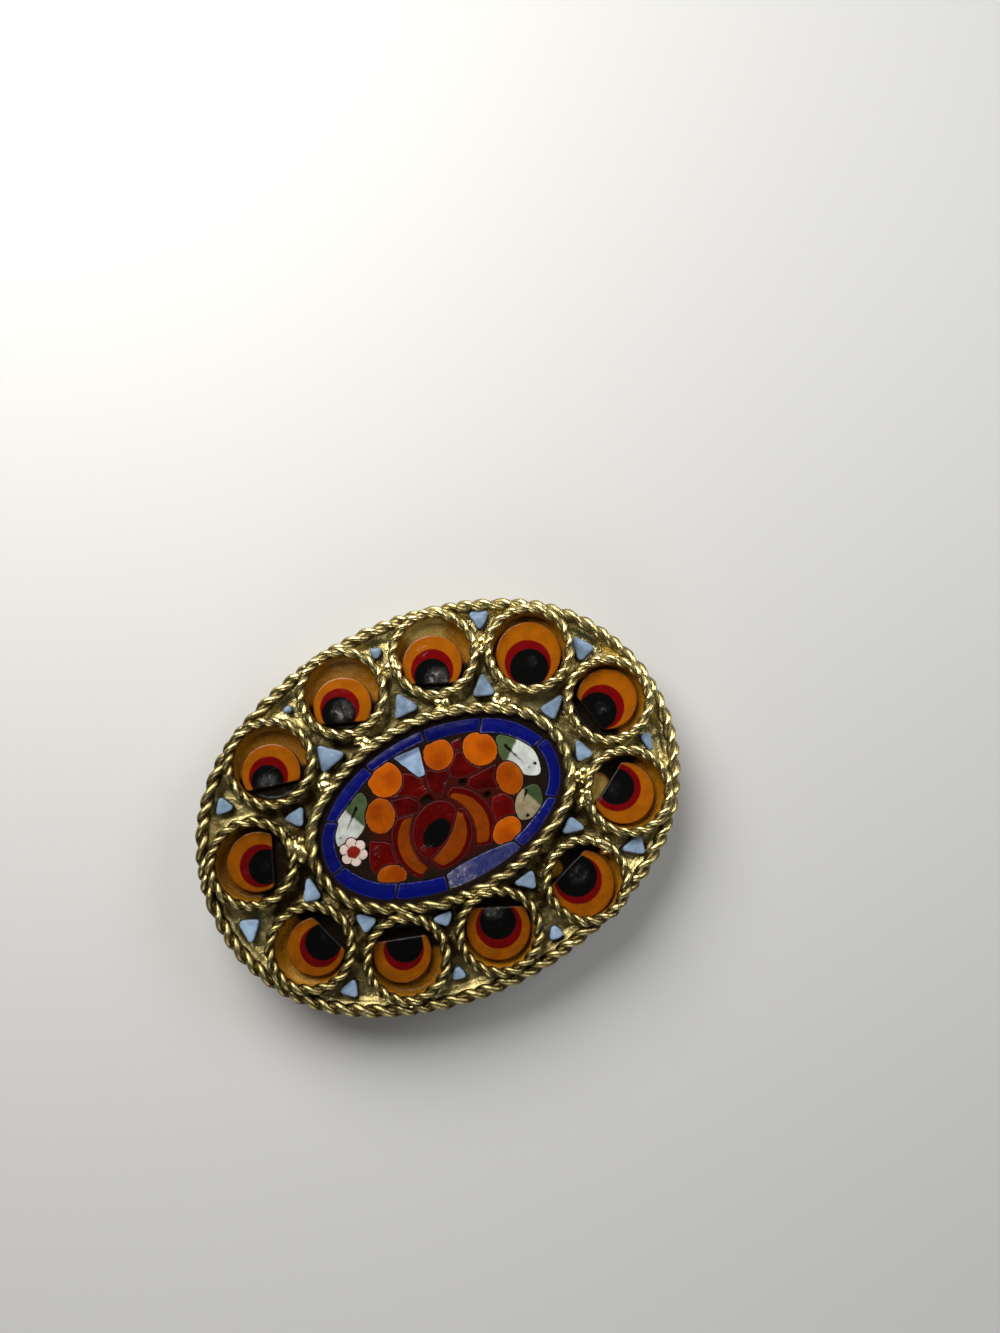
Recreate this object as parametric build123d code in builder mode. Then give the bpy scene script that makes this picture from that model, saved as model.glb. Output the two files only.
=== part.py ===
"""Oval micromosaic brooch: a gilt brass setting of twisted wire, glass eye slices, glass tesserae and a pin.

Lengths are in millimetres. The brooch lies on its pin with its face up: +X runs along its length,
+Y across it, and Z is 0 at the surface that it lies on.
"""

import os
from math import atan2, cos, degrees, radians, sin

from build123d import *

# Overall sizes
brooch_length = 36.0
brooch_width = 27.7
end_arc_radius = 12.5
back_height = 3.0

# Setting: the plate, its rim, and the wires that are soldered to it
plate_thickness = 0.6
plate_margin = 0.1
rim_height = 0.35
rim_width = 0.75
border_rope_diameter = 0.96
ring_rope_diameter = 0.78
centre_rope_diameter = 0.92
strip_thickness = 0.3
rope_seat = 0.06
ring_radius = 2.93
ring_depth = 1.35
centre_depth = 1.2

# Centre oval: the middle line of its rope, and the field of tesserae inside
centre_x = 0.0
centre_y = -0.42
centre_half_length = 9.75
centre_half_width = 6.4
centre_arc_radius = 4.9
field_half_length = 9.25
field_half_width = 5.65
band_width = 1.05

# Glass and cement
fit_gap = 0.04
tile_gap = 0.08
ring_bed_thickness = 0.25
eye_radius = 2.25
eye_thickness = 0.55
triangle_thickness = 0.85
centre_bed_thickness = 0.3
tile_thickness = 0.6
leaf_tip_radius = 0.3
flower_petal_count = 6

# Pin
pin_bar_length = 23.0
pin_bar_width = 4.2
pin_bar_thickness = 0.5
pin_y = 0.0
foot_length = 2.6
catch_slot = 1.1
stem_diameter = 0.9
stem_height = 1.05
stem_overhang = 1.0
stem_taper = 2.4
tip_radius = 0.12

# Worked out from the sizes above
half_length = brooch_length / 2
half_width = brooch_width / 2
plate_top = back_height + plate_thickness
border_rope_z = plate_top + rim_height + border_rope_diameter / 2 - rope_seat
ring_rope_z = plate_top + ring_depth
centre_rope_z = plate_top + centre_depth
ring_bed_top = plate_top + fit_gap + ring_bed_thickness
centre_bed_top = plate_top + fit_gap + centre_bed_thickness

# The rings and the glass eye in each, clockwise from the upper left. x and y are shares of the half
# length and half width, radius of ring_radius. The eye's place is in shares of ring_radius, its size of
# eye_radius. Each slice is cut off straight, square to cut_turn, at cut_at of its own radius.
# name: (x, y, radius, eye_x, eye_y, eye_size, cut_turn, cut_at)
rings = {
    "a": (-0.537, 0.568, 1.02, -0.10, -0.21, 0.95, -104, 0.44),
    "b": (-0.161, 0.732, 1.03, -0.13, -0.26, 0.95, -112, 0.59),
    "c": (0.240, 0.706, 1.02, -0.14, -0.19, 0.98, -114, 0.65),
    "d": (0.595, 0.507, 1.02, -0.05, -0.09, 1.07, -116, 0.98),
    "e": (0.789, 0.082, 1.00, 0.00, 0.04, 0.99, -170, 0.74),
    "f": (0.692, -0.385, 1.00, -0.10, 0.00, 0.99, 122, 0.58),
    "g": (0.386, -0.691, 0.96, -0.15, -0.03, 1.07, 109, 0.60),
    "h": (-0.007, -0.722, 0.955, 0.01, 0.08, 1.02, 66, 0.62),
    "i": (-0.376, -0.636, 0.955, -0.06, 0.17, 0.93, 72, 0.48),
    "j": (-0.692, -0.370, 0.98, 0.10, -0.04, 0.92, 19, 0.60),
    "k": (-0.764, 0.144, 1.00, 0.10, -0.01, 0.96, -22, 0.52),
}

# Light blue triangles between the rings, clockwise from the left. x and y are shares of the half length
# and half width, length and base of ring_radius. Each one's point lies towards turn.
# (x, y, length, base, turn)
outer_triangles = (
    (-0.780, 0.475, 0.36, 0.42, 86),
    (-0.387, 0.785, 0.20, 0.20, 176),
    (0.032, 0.855, 0.27, 0.30, 8),
    (0.474, 0.781, 0.46, 0.50, -112),
    (0.794, 0.389, 0.56, 0.50, 104),
    (0.859, -0.195, 0.46, 0.22, -95),
    (0.622, -0.654, 0.50, 0.44, 168),
    (0.187, -0.861, 0.29, 0.35, 85),
    (-0.223, -0.821, 0.26, 0.34, 76),
    (-0.626, -0.645, 0.38, 0.40, 165),
    (-0.882, -0.145, 0.52, 0.46, -109),
)
inner_triangles = (
    (-0.538, 0.258, 0.38, 0.50, -81),
    (-0.322, 0.464, 0.60, 0.66, -13),
    (0.039, 0.531, 0.53, 0.60, 90),
    (0.362, 0.434, 0.53, 0.52, 69),
    (0.575, 0.177, 0.60, 0.42, 25),
    (0.604, -0.101, 0.48, 0.40, 90),
    (0.434, -0.419, 0.34, 0.54, 75),
    (0.177, -0.562, 0.48, 0.42, 166),
    (-0.183, -0.544, 0.28, 0.48, -91),
    (-0.463, -0.382, 0.45, 0.40, 117),
    (-0.608, -0.120, 0.52, 0.40, 77),
)

# The band of dark blue tiles round the field: where each starts, in degrees round the oval, and how far
# its outer and inner edges lie inside the field's edge there, its inner edge halfway, and both where the
# next one starts, in shares of band_width.
# (start, outer, inner, inner_halfway, outer_end, inner_end)
band_tiles = (
    (12, 0.28, 1.24, 1.21, 0.10, 1.18),
    (54, 0.10, 1.02, 0.99, 0.02, 0.96),
    (83, 0.02, 0.76, 0.74, 0.06, 0.72),
    (114, 0.08, 0.86, 1.00, 0.16, 0.82),
    (150, 0.16, 1.00, 1.01, 0.12, 1.02),
    (189, 0.04, 1.10, 1.14, 0.04, 1.14),
    (231, 0.06, 1.14, 1.10, 0.04, 1.02),
    (257, 0.06, 1.08, 1.34, 0.06, 0.74),
    (295, 0.04, 0.80, 0.80, 0.04, 0.66),
    (327, 0.10, 0.92, 0.96, 0.16, 1.00),
)

# The flowers in the field. All places and lengths below are shares of field_half_length along X and
# of field_half_width for y and for every length.
# Round orange buds: (x, y, long_radius, short_radius, turn)
buds = (
    (-0.303, 0.630, 0.228, 0.220, 60),
    (-0.455, 0.245, 0.228, 0.190, 64),
    (0.155, 0.622, 0.208, 0.196, 64),
    (0.466, 0.445, 0.236, 0.210, 118),
    (0.572, -0.055, 0.218, 0.170, 82),
    (0.374, -0.635, 0.206, 0.160, 22),
    (-0.568, -0.495, 0.190, 0.138, -18),
)
# The end arc of a bud or heart, as a share of its short radius
round_end = 0.78
# The rose's dark heart: (x, y, long_radius, short_radius, turn)
heart = (-0.108, -0.225, 0.375, 0.300, 44)
# The curved petals round it. Each lies between an outer and an inner arc, and each arc is given by
# its start, its middle and its end (x, y).
# name: (outer_arc, inner_arc)
curved_petals = {
    "rose_petal_inner": (
        ((-0.210, -0.700), (0.070, -0.590), (0.150, -0.130)),
        ((-0.255, -0.530), (-0.050, -0.390), (0.105, -0.100)),
    ),
    "rose_petal_left": (
        ((-0.370, 0.120), (-0.475, -0.220), (-0.385, -0.690)),
        ((-0.210, 0.080), (-0.320, -0.220), (-0.290, -0.620)),
    ),
    "rose_petal_outer": (
        ((0.140, 0.170), (0.335, -0.270), (0.225, -0.700)),
        ((0.075, 0.110), (0.155, -0.270), (0.105, -0.630)),
    ),
}
# Flat red petals: corners (x, y)
red_petals = (
    ((-0.17, 0.62), (-0.03, 0.47), (-0.045, 0.25), (-0.13, 0.22), (-0.19, 0.32), (-0.33, 0.39)),
    ((-0.36, 0.37), (-0.2, 0.31), (-0.14, 0.2), (-0.17, 0.07), (-0.4, 0.02)),
    ((-0.61, 0.02), (-0.5, -0.08), (-0.44, -0.2), (-0.44, -0.42), (-0.69, -0.37), (-0.68, -0.2)),
    ((0.0, 0.52), (0.17, 0.42), (0.155, 0.3), (0.07, 0.19), (0.04, 0.1), (-0.03, 0.25)),
    ((0.275, 0.535), (0.36, 0.52), (0.4, 0.26), (0.42, 0.215), (0.25, 0.2), (0.165, 0.29), (0.18, 0.43)),
    ((0.29, 0.18), (0.53, 0.185), (0.46, 0.05), (0.48, -0.16), (0.4, -0.06), (0.3, -0.01), (0.25, 0.08)),
    ((0.39, -0.17), (0.48, -0.19), (0.52, -0.3), (0.51, -0.5), (0.28, -0.52), (0.345, -0.28)),
    ((0.27, 0.69), (0.37, 0.69), (0.33, 0.52), (0.27, 0.54)),
)
# Green and white leaves. Each one's green tip lies towards turn.
# name: (x, y, length, width, turn)
leaves = {
    "leaf_top": (0.712, 0.160, 0.760, 0.380, 112),
    "leaf_left": (-0.670, 0.355, 0.790, 0.370, 43),
    "leaf_right": (0.622, -0.435, 0.505, 0.330, 40),
}
# White flower with round petals: (x, y, petal_radius, petal_reach, turn)
flower = (-0.757, -0.012, 0.066, 0.115, 20)
# Light blue corner piece: corners (x, y)
sky_corners = ((-0.172, 0.835), (0.045, 0.820), (-0.005, 0.460), (-0.060, 0.470))


def oval(half_long, half_short, end_radius, x=0.0, y=0.0):
    """Draw an oval of four tangent arcs in the line being built."""
    end_centre = half_long - end_radius
    flank_radius = (half_long**2 + half_short**2 - 2 * half_long * end_radius) / (
        2 * (half_short - end_radius)
    )
    turn = atan2(flank_radius - half_short, end_centre)
    join_x = end_centre + end_radius * cos(turn)
    join_y = end_radius * sin(turn)
    ThreePointArc((x + join_x, y - join_y), (x + half_long, y), (x + join_x, y + join_y))
    ThreePointArc((x + join_x, y + join_y), (x, y + half_short), (x - join_x, y + join_y))
    ThreePointArc((x - join_x, y + join_y), (x - half_long, y), (x - join_x, y - join_y))
    ThreePointArc((x - join_x, y - join_y), (x, y - half_short), (x + join_x, y - join_y))


def brooch_oval(inset):
    """The brooch's outline, or a parallel oval inside it."""
    with BuildSketch() as profile:
        with BuildLine():
            oval(half_length - inset, half_width - inset, end_arc_radius - inset)
        make_face()
    return profile.sketch


def centre_oval(inset):
    """The oval of the centre rope's middle line, or a parallel one inside it."""
    with BuildSketch() as profile:
        with BuildLine():
            oval(
                centre_half_length - inset,
                centre_half_width - inset,
                centre_arc_radius - inset,
                centre_x,
                centre_y,
            )
        make_face()
    return profile.sketch


def in_field(x, y):
    """A place in the field of tesserae, from shares of its half length and half width."""
    return (centre_x + x * field_half_length, centre_y + y * field_half_width)


def ring_centre(name):
    """The middle of a ring."""
    return (rings[name][0] * half_length, rings[name][1] * half_width)


def ring_middle_radius(name):
    """The radius of a ring's wire, at its middle line."""
    return rings[name][2] * ring_radius


def trimmed(profile, *neighbours, gap=tile_gap):
    """A profile cut back to a gap from each of its neighbours."""
    with BuildSketch() as cut:
        add(profile)
        for neighbour in neighbours:
            grown = offset(neighbour, amount=gap, mode=Mode.PRIVATE)
            add(grown, mode=Mode.SUBTRACT)
    return cut.sketch


def common(profile, limit):
    """The part of a profile that lies inside a limit."""
    with BuildSketch() as kept:
        add(profile)
        add(limit, mode=Mode.INTERSECT)
    return kept.sketch


def slab(profiles, bottom, thickness):
    """A flat piece, or a set of them, of one thickness."""
    with BuildPart() as piece:
        with BuildSketch(Plane.XY.offset(bottom)):
            for profile in profiles:
                add(profile)
        extrude(amount=thickness)
    return piece.part


def write(part, name):
    """Label a finished piece and write its file."""
    part.label = name
    export_step(part, f"parts/{name}.step")


def make_plate():
    """The back plate, whose edge follows each ring that reaches past the oval."""
    with BuildPart() as plate:
        with BuildSketch(Plane.XY.offset(back_height)):
            add(brooch_oval(plate_margin))
            for name in rings:
                with Locations(ring_centre(name)):
                    Circle(ring_middle_radius(name) + strip_thickness / 2)
        extrude(amount=plate_thickness)
    return plate.part


def make_border():
    """The raised rim and the border rope on it, both stopped at the rings that reach them."""
    middle = border_rope_diameter / 2
    with BuildPart() as border:
        with BuildLine(Plane.XY.offset(border_rope_z)) as path:
            oval(half_length - middle, half_width - middle, end_arc_radius - middle)
        with BuildSketch(Plane(path.line @ 0, z_dir=path.line % 0)):
            Circle(middle)
        sweep(path=path.line)
        with BuildSketch(Plane.XY.offset(plate_top - rope_seat)):
            add(brooch_oval(plate_margin))
            add(brooch_oval(plate_margin + rim_width), mode=Mode.SUBTRACT)
        extrude(amount=rim_height + rope_seat)
        with BuildSketch(Plane.XY.offset(plate_top - plate_thickness)):
            for name in rings:
                with Locations(ring_centre(name)):
                    Circle(ring_middle_radius(name))
        extrude(amount=plate_thickness + ring_depth + ring_rope_diameter, mode=Mode.SUBTRACT)
    return border.part


def make_collets():
    """The rings: each is a strip bent into a circle, with a rope on its edge."""
    with BuildPart() as collets:
        for name in rings:
            x, y = ring_centre(name)
            with BuildSketch(Plane((x, y, 0), x_dir=(1, 0, 0), z_dir=(0, -1, 0))):
                with Locations((ring_middle_radius(name), plate_top - rope_seat)):
                    Rectangle(strip_thickness, ring_depth + rope_seat, align=(Align.CENTER, Align.MIN))
                with Locations((ring_middle_radius(name), ring_rope_z)):
                    Circle(ring_rope_diameter / 2)
            revolve(axis=Axis((x, y, 0), (0, 0, 1)))
    return collets.part


def make_centre():
    """The oval strip round the field of tesserae, with a rope on its edge."""
    with BuildPart() as centre:
        with BuildSketch(Plane.XY.offset(plate_top - rope_seat)):
            add(centre_oval(-strip_thickness / 2))
            add(centre_oval(strip_thickness / 2), mode=Mode.SUBTRACT)
        extrude(amount=centre_depth + rope_seat)
        with BuildLine(Plane.XY.offset(centre_rope_z)) as path:
            oval(centre_half_length, centre_half_width, centre_arc_radius, centre_x, centre_y)
        with BuildSketch(Plane(path.line @ 0, z_dir=path.line % 0)):
            Circle(centre_rope_diameter / 2)
        sweep(path=path.line)
    return centre.part


def make_setting():
    """The plate, rings, centre strip and border, soldered into one piece."""
    with BuildPart() as setting:
        add(make_plate())
        add(make_centre())
        add(make_collets())
        add(make_border())
    return setting.part


def ring_inside(name):
    """The clear circle inside a ring's strip."""
    with BuildSketch() as profile:
        with Locations(ring_centre(name)):
            Circle(ring_middle_radius(name) - strip_thickness / 2 - fit_gap)
    return profile.sketch


def eye_profile(name):
    """A slice of eye cane: round, cut off straight on one side, and held inside its ring."""
    ring_x, ring_y = ring_centre(name)
    shift_x, shift_y, size, cut_turn, cut_at = rings[name][3:]
    radius = size * eye_radius
    place = (ring_x + shift_x * ring_radius, ring_y + shift_y * ring_radius)
    with BuildSketch() as slice_shape:
        with Locations(Location((place[0], place[1], 0), (0, 0, cut_turn))):
            Circle(radius)
            with Locations((cut_at * radius, 0)):
                Rectangle(2 * radius, 3 * radius, align=(Align.MIN, Align.CENTER), mode=Mode.SUBTRACT)
    return common(slice_shape.sketch, ring_inside(name))


def triangle_profile(row):
    """A light blue triangle, cut back where the wires round it would touch it."""
    x, y, length, base, turn = row
    with BuildSketch() as shape:
        with Locations(Location((x * half_length, y * half_width, 0), (0, 0, turn))):
            Polygon(
                (length * ring_radius * 2 / 3, 0),
                (-length * ring_radius / 3, base * ring_radius / 2),
                (-length * ring_radius / 3, -base * ring_radius / 2),
                align=None,
            )
        for name in rings:
            with Locations(ring_centre(name)):
                Circle(ring_middle_radius(name) + strip_thickness / 2 + fit_gap, mode=Mode.SUBTRACT)
        add(centre_oval(-strip_thickness / 2 - fit_gap), mode=Mode.SUBTRACT)
        add(brooch_oval(border_rope_diameter + fit_gap), mode=Mode.INTERSECT)
    return shape.sketch


def band_tile_profile(index):
    """One tile of the dark blue band, between its own start and the next tile's and clear of the rope."""
    start, outer, inner, inner_halfway, outer_end, inner_end = band_tiles[index]
    end = band_tiles[(index + 1) % len(band_tiles)][0]
    if end < start:
        end += 360
    gap_turn = degrees(tile_gap / 2 / (field_half_width - band_width))
    turns = (start + gap_turn, (start + end) / 2, end - gap_turn)

    def at(turn, inset):
        angle = radians(turn)
        return (
            centre_x + (field_half_length - inset * band_width) * cos(angle),
            centre_y + (field_half_width - inset * band_width) * sin(angle),
        )

    edge_out = [at(turn, inset) for turn, inset in zip(turns, (outer, (outer + outer_end) / 2, outer_end))]
    edge_in = [at(turn, inset) for turn, inset in zip(turns, (inner, inner_halfway, inner_end))]
    with BuildSketch() as shape:
        with BuildLine():
            ThreePointArc(*edge_out)
            Line(edge_out[2], edge_in[2])
            ThreePointArc(*reversed(edge_in))
            Line(edge_in[0], edge_out[0])
        make_face()
        add(centre_oval(centre_rope_diameter / 2 + fit_gap), mode=Mode.INTERSECT)
    return shape.sketch


def turned_plane(x, y, turn):
    """A plane at a place in the field, with its X axis towards turn."""
    place = in_field(x, y)
    return Plane((place[0], place[1], 0), x_dir=(cos(radians(turn)), sin(radians(turn)), 0))


def round_profile(row):
    """An oval piece in the field: a bud or the rose's heart."""
    x, y, long_radius, short_radius, turn = row
    end_radius = round_end * short_radius * field_half_width
    with BuildSketch(turned_plane(x, y, turn)) as shape:
        with BuildLine():
            oval(long_radius * field_half_width, short_radius * field_half_width, end_radius)
        make_face()
    return shape.sketch


def curved_petal_profile(arcs):
    """A petal bent round the rose's heart."""
    outer, inner = [[in_field(x, y) for x, y in arc] for arc in arcs]
    with BuildSketch() as shape:
        with BuildLine():
            ThreePointArc(*outer)
            ThreePointArc(*inner)
            Line(outer[0], inner[0])
            Line(outer[2], inner[2])
        make_face()
    return shape.sketch


def corners_profile(corners):
    """A flat piece in the field with straight sides."""
    with BuildSketch() as shape:
        Polygon(*[in_field(x, y) for x, y in corners], align=None)
    return shape.sketch


def leaf_profile(row):
    """A leaf of two arcs, with its tips worn round."""
    x, y, length, width, turn = row
    reach = length * field_half_width / 2
    bulge = width * field_half_width / 2
    with BuildSketch(turned_plane(x, y, turn)) as shape:
        with BuildLine():
            ThreePointArc((-reach, 0), (0, bulge), (reach, 0))
            ThreePointArc((reach, 0), (0, -bulge), (-reach, 0))
        make_face()
        fillet(shape.vertices(), leaf_tip_radius)
    return shape.sketch


def flower_profile():
    """Round petals about a middle."""
    x, y, petal_radius, petal_reach, turn = flower
    with BuildSketch(turned_plane(x, y, turn)) as shape:
        Circle(petal_reach * field_half_width)
        with PolarLocations(petal_reach * field_half_width, flower_petal_count):
            Circle(petal_radius * field_half_width)
    return shape.sketch


def make_pin_back():
    """The pin in one plain piece: bar, hinge foot, catch foot and stem."""
    bar_bottom = back_height - fit_gap - pin_bar_thickness
    foot_x = (pin_bar_length - foot_length) / 2
    tip_x = pin_bar_length / 2 + stem_overhang
    stem_radius = stem_diameter / 2
    with BuildPart() as pin_back:
        with BuildSketch(Plane.XY.offset(bar_bottom)):
            with Locations((0, pin_y)):
                Rectangle(pin_bar_length, pin_bar_width)
        extrude(amount=pin_bar_thickness)
        with BuildSketch():
            with Locations((-foot_x, pin_y), (foot_x, pin_y)):
                Rectangle(foot_length, pin_bar_width)
        extrude(amount=bar_bottom + pin_bar_thickness / 2)

        # The catch is open at one side, where the stem goes in
        catch_start = (foot_x - foot_length / 2, pin_y, stem_height)
        with BuildSketch(Plane(catch_start, x_dir=(0, 1, 0), z_dir=(1, 0, 0))):
            with Locations((-catch_slot / 2, 0)):
                Rectangle(pin_bar_width, catch_slot, align=(Align.MIN, Align.CENTER))
        extrude(amount=foot_length, mode=Mode.SUBTRACT)

        with BuildSketch(Plane((0, pin_y, stem_height), x_dir=(1, 0, 0), z_dir=(0, -1, 0))):
            Polygon(
                (-foot_x, 0),
                (-foot_x, stem_radius),
                (tip_x - stem_taper, stem_radius),
                (tip_x, tip_radius),
                (tip_x, 0),
                align=None,
            )
        revolve(axis=Axis((0, pin_y, stem_height), (1, 0, 0)))
    return pin_back.part


os.makedirs("parts", exist_ok=True)

band_shapes = [band_tile_profile(index) for index in range(len(band_tiles))]
bud_shapes = []
for row in buds:
    bud_shapes.append(trimmed(round_profile(row), *band_shapes, *bud_shapes))
heart_shape = trimmed(round_profile(heart), curved_petal_profile(curved_petals["rose_petal_inner"]))
curved_shapes = {}
for name, arcs in curved_petals.items():
    neighbours = [*bud_shapes, *band_shapes, *curved_shapes.values()]
    if name != "rose_petal_inner":
        neighbours.append(heart_shape)
    curved_shapes[name] = trimmed(curved_petal_profile(arcs), *neighbours)
flower_shape = trimmed(flower_profile(), *band_shapes)
leaf_shapes = {
    name: trimmed(leaf_profile(row), flower_shape, *bud_shapes, *band_shapes) for name, row in leaves.items()
}
sky_shape = trimmed(corners_profile(sky_corners), *bud_shapes, *band_shapes)
flat_petals = []
for corners in red_petals:
    neighbours = [heart_shape, flower_shape, sky_shape, *bud_shapes, *band_shapes, *flat_petals]
    neighbours += [*curved_shapes.values(), *leaf_shapes.values()]
    flat_petals.append(trimmed(corners_profile(corners), *neighbours))

tile_bottom = centre_bed_top + fit_gap
tiles = {f"band_tile_{index + 1:02d}": shape for index, shape in enumerate(band_shapes)}
tiles |= {f"bud_{index + 1}": shape for index, shape in enumerate(bud_shapes)}
tiles |= {"rose_heart": heart_shape, "white_flower": flower_shape, "sky_tile": sky_shape}
tiles |= curved_shapes | leaf_shapes

write(make_setting(), "setting")
write(make_pin_back(), "pin_back")
write(slab([ring_inside(name) for name in rings], plate_top + fit_gap, ring_bed_thickness), "ring_cement")
for name in rings:
    write(slab([eye_profile(name)], ring_bed_top + fit_gap, eye_thickness), f"eye_{name}")
for name, rows in (("outer_triangles", outer_triangles), ("inner_triangles", inner_triangles)):
    write(slab([triangle_profile(row) for row in rows], plate_top + fit_gap, triangle_thickness), name)
write(
    slab([centre_oval(strip_thickness / 2 + fit_gap)], plate_top + fit_gap, centre_bed_thickness),
    "centre_cement",
)
for name, shape in tiles.items():
    write(slab([shape], tile_bottom, tile_thickness), name)
write(slab(flat_petals, tile_bottom, tile_thickness), "red_petals")
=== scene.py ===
"""Looks of an oval micromosaic brooch: twisted gilt wire, slices of eye cane and small pieces of glass.

Sizes in the tables and functions are in millimetres, on the axes of the frame: +X runs along the brooch,
+Y across it, +Z out of its face. Meshes are written in metres.
"""

from functools import partial
from itertools import combinations
from math import atan2, cos, pi, radians, sin

import bpy
import numpy as np
from bpy.props import FloatProperty, FloatVectorProperty, IntProperty, PointerProperty
from bpy.types import Operator, Panel, PropertyGroup
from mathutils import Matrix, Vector, noise
from mathutils.geometry import delaunay_2d_cdt


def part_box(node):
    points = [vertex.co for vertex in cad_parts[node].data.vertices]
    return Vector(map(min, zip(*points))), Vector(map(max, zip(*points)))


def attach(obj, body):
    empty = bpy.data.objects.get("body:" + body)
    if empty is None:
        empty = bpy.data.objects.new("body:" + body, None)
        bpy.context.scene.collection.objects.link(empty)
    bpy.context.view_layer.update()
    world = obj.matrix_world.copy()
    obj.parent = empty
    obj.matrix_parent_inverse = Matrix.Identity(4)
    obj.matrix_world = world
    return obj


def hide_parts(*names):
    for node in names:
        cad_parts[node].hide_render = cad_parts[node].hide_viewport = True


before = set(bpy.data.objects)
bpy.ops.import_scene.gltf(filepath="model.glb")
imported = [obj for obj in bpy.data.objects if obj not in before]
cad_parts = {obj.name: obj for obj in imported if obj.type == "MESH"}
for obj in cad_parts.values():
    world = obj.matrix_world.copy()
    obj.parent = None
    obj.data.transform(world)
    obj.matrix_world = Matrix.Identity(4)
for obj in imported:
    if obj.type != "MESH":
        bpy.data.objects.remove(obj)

bl_info = {
    "name": "Micromosaic Brooch",
    "version": (1, 0, 0),
    "blender": (4, 5, 0),
    "location": "View3D > Sidebar > Brooch",
    "description": "Builds the twisted wires, the glass and the finishes of an oval micromosaic brooch",
    "category": "Add Mesh",
}

MILLIMETRE = 0.001
TURN = 2 * pi


# Places read from the frame


def loose_parts(node):
    """The separate solids of a CAD node: for each, its corners in millimetres and its triangles."""
    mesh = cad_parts[node].data
    mesh.calc_loop_triangles()
    points = np.array([vertex.co for vertex in mesh.vertices]) / MILLIMETRE
    corners, same = np.unique(points.round(4), axis=0, return_inverse=True)
    triangles = same.reshape(-1)[np.array([triangle.vertices for triangle in mesh.loop_triangles])]
    label = np.arange(len(corners))
    while True:
        grown = label.copy()
        lowest = np.repeat(label[triangles].min(1)[:, None], 3, 1)
        np.minimum.at(grown, triangles, lowest)
        grown = grown[grown]
        if (grown == label).all():
            break
        label = grown
    return [(corners, triangles[label[triangles[:, 0]] == one]) for one in np.unique(label)]


def top_outline(corners, triangles):
    """The edge of a solid's flat top, counter-clockwise."""
    heights = corners[triangles][:, :, 2]
    flat = triangles[(heights > heights.max() - 0.001).all(1)]
    sides = {(int(a), int(b)) for row in flat for a, b in zip(row, np.roll(row, -1))}
    onward = {a: b for a, b in sides if (b, a) not in sides}
    start = min(onward)
    chain = [start]
    while onward[chain[-1]] != start:
        chain.append(onward[chain[-1]])
    return corners[chain][:, :2]


def node_box(node):
    """The lowest and highest corner of a CAD node, in millimetres."""
    low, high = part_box(node)
    return np.array(low) / MILLIMETRE, np.array(high) / MILLIMETRE


def node_middle(node):
    """The middle of a CAD node's box, seen from above."""
    low, high = node_box(node)
    return ((low + high) / 2)[:2]


def nodes_named(start):
    """The CAD nodes whose names begin so, in order."""
    return sorted(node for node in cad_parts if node.startswith(start))


# Driving sizes that the frame's boxes don't give
STRIP_THICKNESS = 0.3
FIT_GAP = 0.04
BRASS_BACK = 3.0
PLATE_THICKNESS = 0.6
PLATE_MARGIN = 0.1
RIM_WIDTH = 0.75
RIM_HEIGHT = 0.35
WIRE_SEAT = 0.06
RING_WIRE = 0.78
BORDER_WIRE = 0.96
CENTRE_WIRE = 0.92
CENTRE_DEPTH = 1.2
BROOCH_END_RADIUS = 12.5
CENTRE_END_RADIUS = 4.9
FIELD_HALF = np.array([9.25, 5.65])

# Worked out from the frame and the sizes above
SETTING_HIGH = node_box("setting")[1]
HALF_LENGTH = SETTING_HIGH[0]
HALF_WIDTH = SETTING_HIGH[1]
PLATE_TOP = BRASS_BACK + PLATE_THICKNESS
RING_WIRE_Z = SETTING_HIGH[2] - RING_WIRE / 2
BORDER_WIRE_Z = PLATE_TOP + RIM_HEIGHT + BORDER_WIRE / 2 - WIRE_SEAT
CENTRE_WIRE_Z = PLATE_TOP + CENTRE_DEPTH
WALL_TO_CEMENT = STRIP_THICKNESS / 2 + FIT_GAP
FIELD_LOW, FIELD_HIGH = node_box("centre_cement")
FIELD_MIDDLE = node_middle("centre_cement")
CENTRE_HALF_LENGTH = (FIELD_HIGH - FIELD_LOW)[0] / 2 + WALL_TO_CEMENT
CENTRE_HALF_WIDTH = (FIELD_HIGH - FIELD_LOW)[1] / 2 + WALL_TO_CEMENT

EYE_NAMES = "abcdefghijk"


def find_rings():
    """Each ring's middle and the radius of its wire's middle line, from the cement that fills it."""
    discs = []
    for corners, triangles in loose_parts("ring_cement"):
        used = corners[np.unique(triangles)][:, :2]
        low, high = used.min(0), used.max(0)
        discs.append(((low + high) / 2, (high - low)[0] / 2 + WALL_TO_CEMENT))
    found = {}
    for name in EYE_NAMES:
        eye = node_middle("eye_" + name)
        found[name] = min(discs, key=lambda disc: np.linalg.norm(disc[0] - eye))
    return found


RINGS = find_rings()

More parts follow.
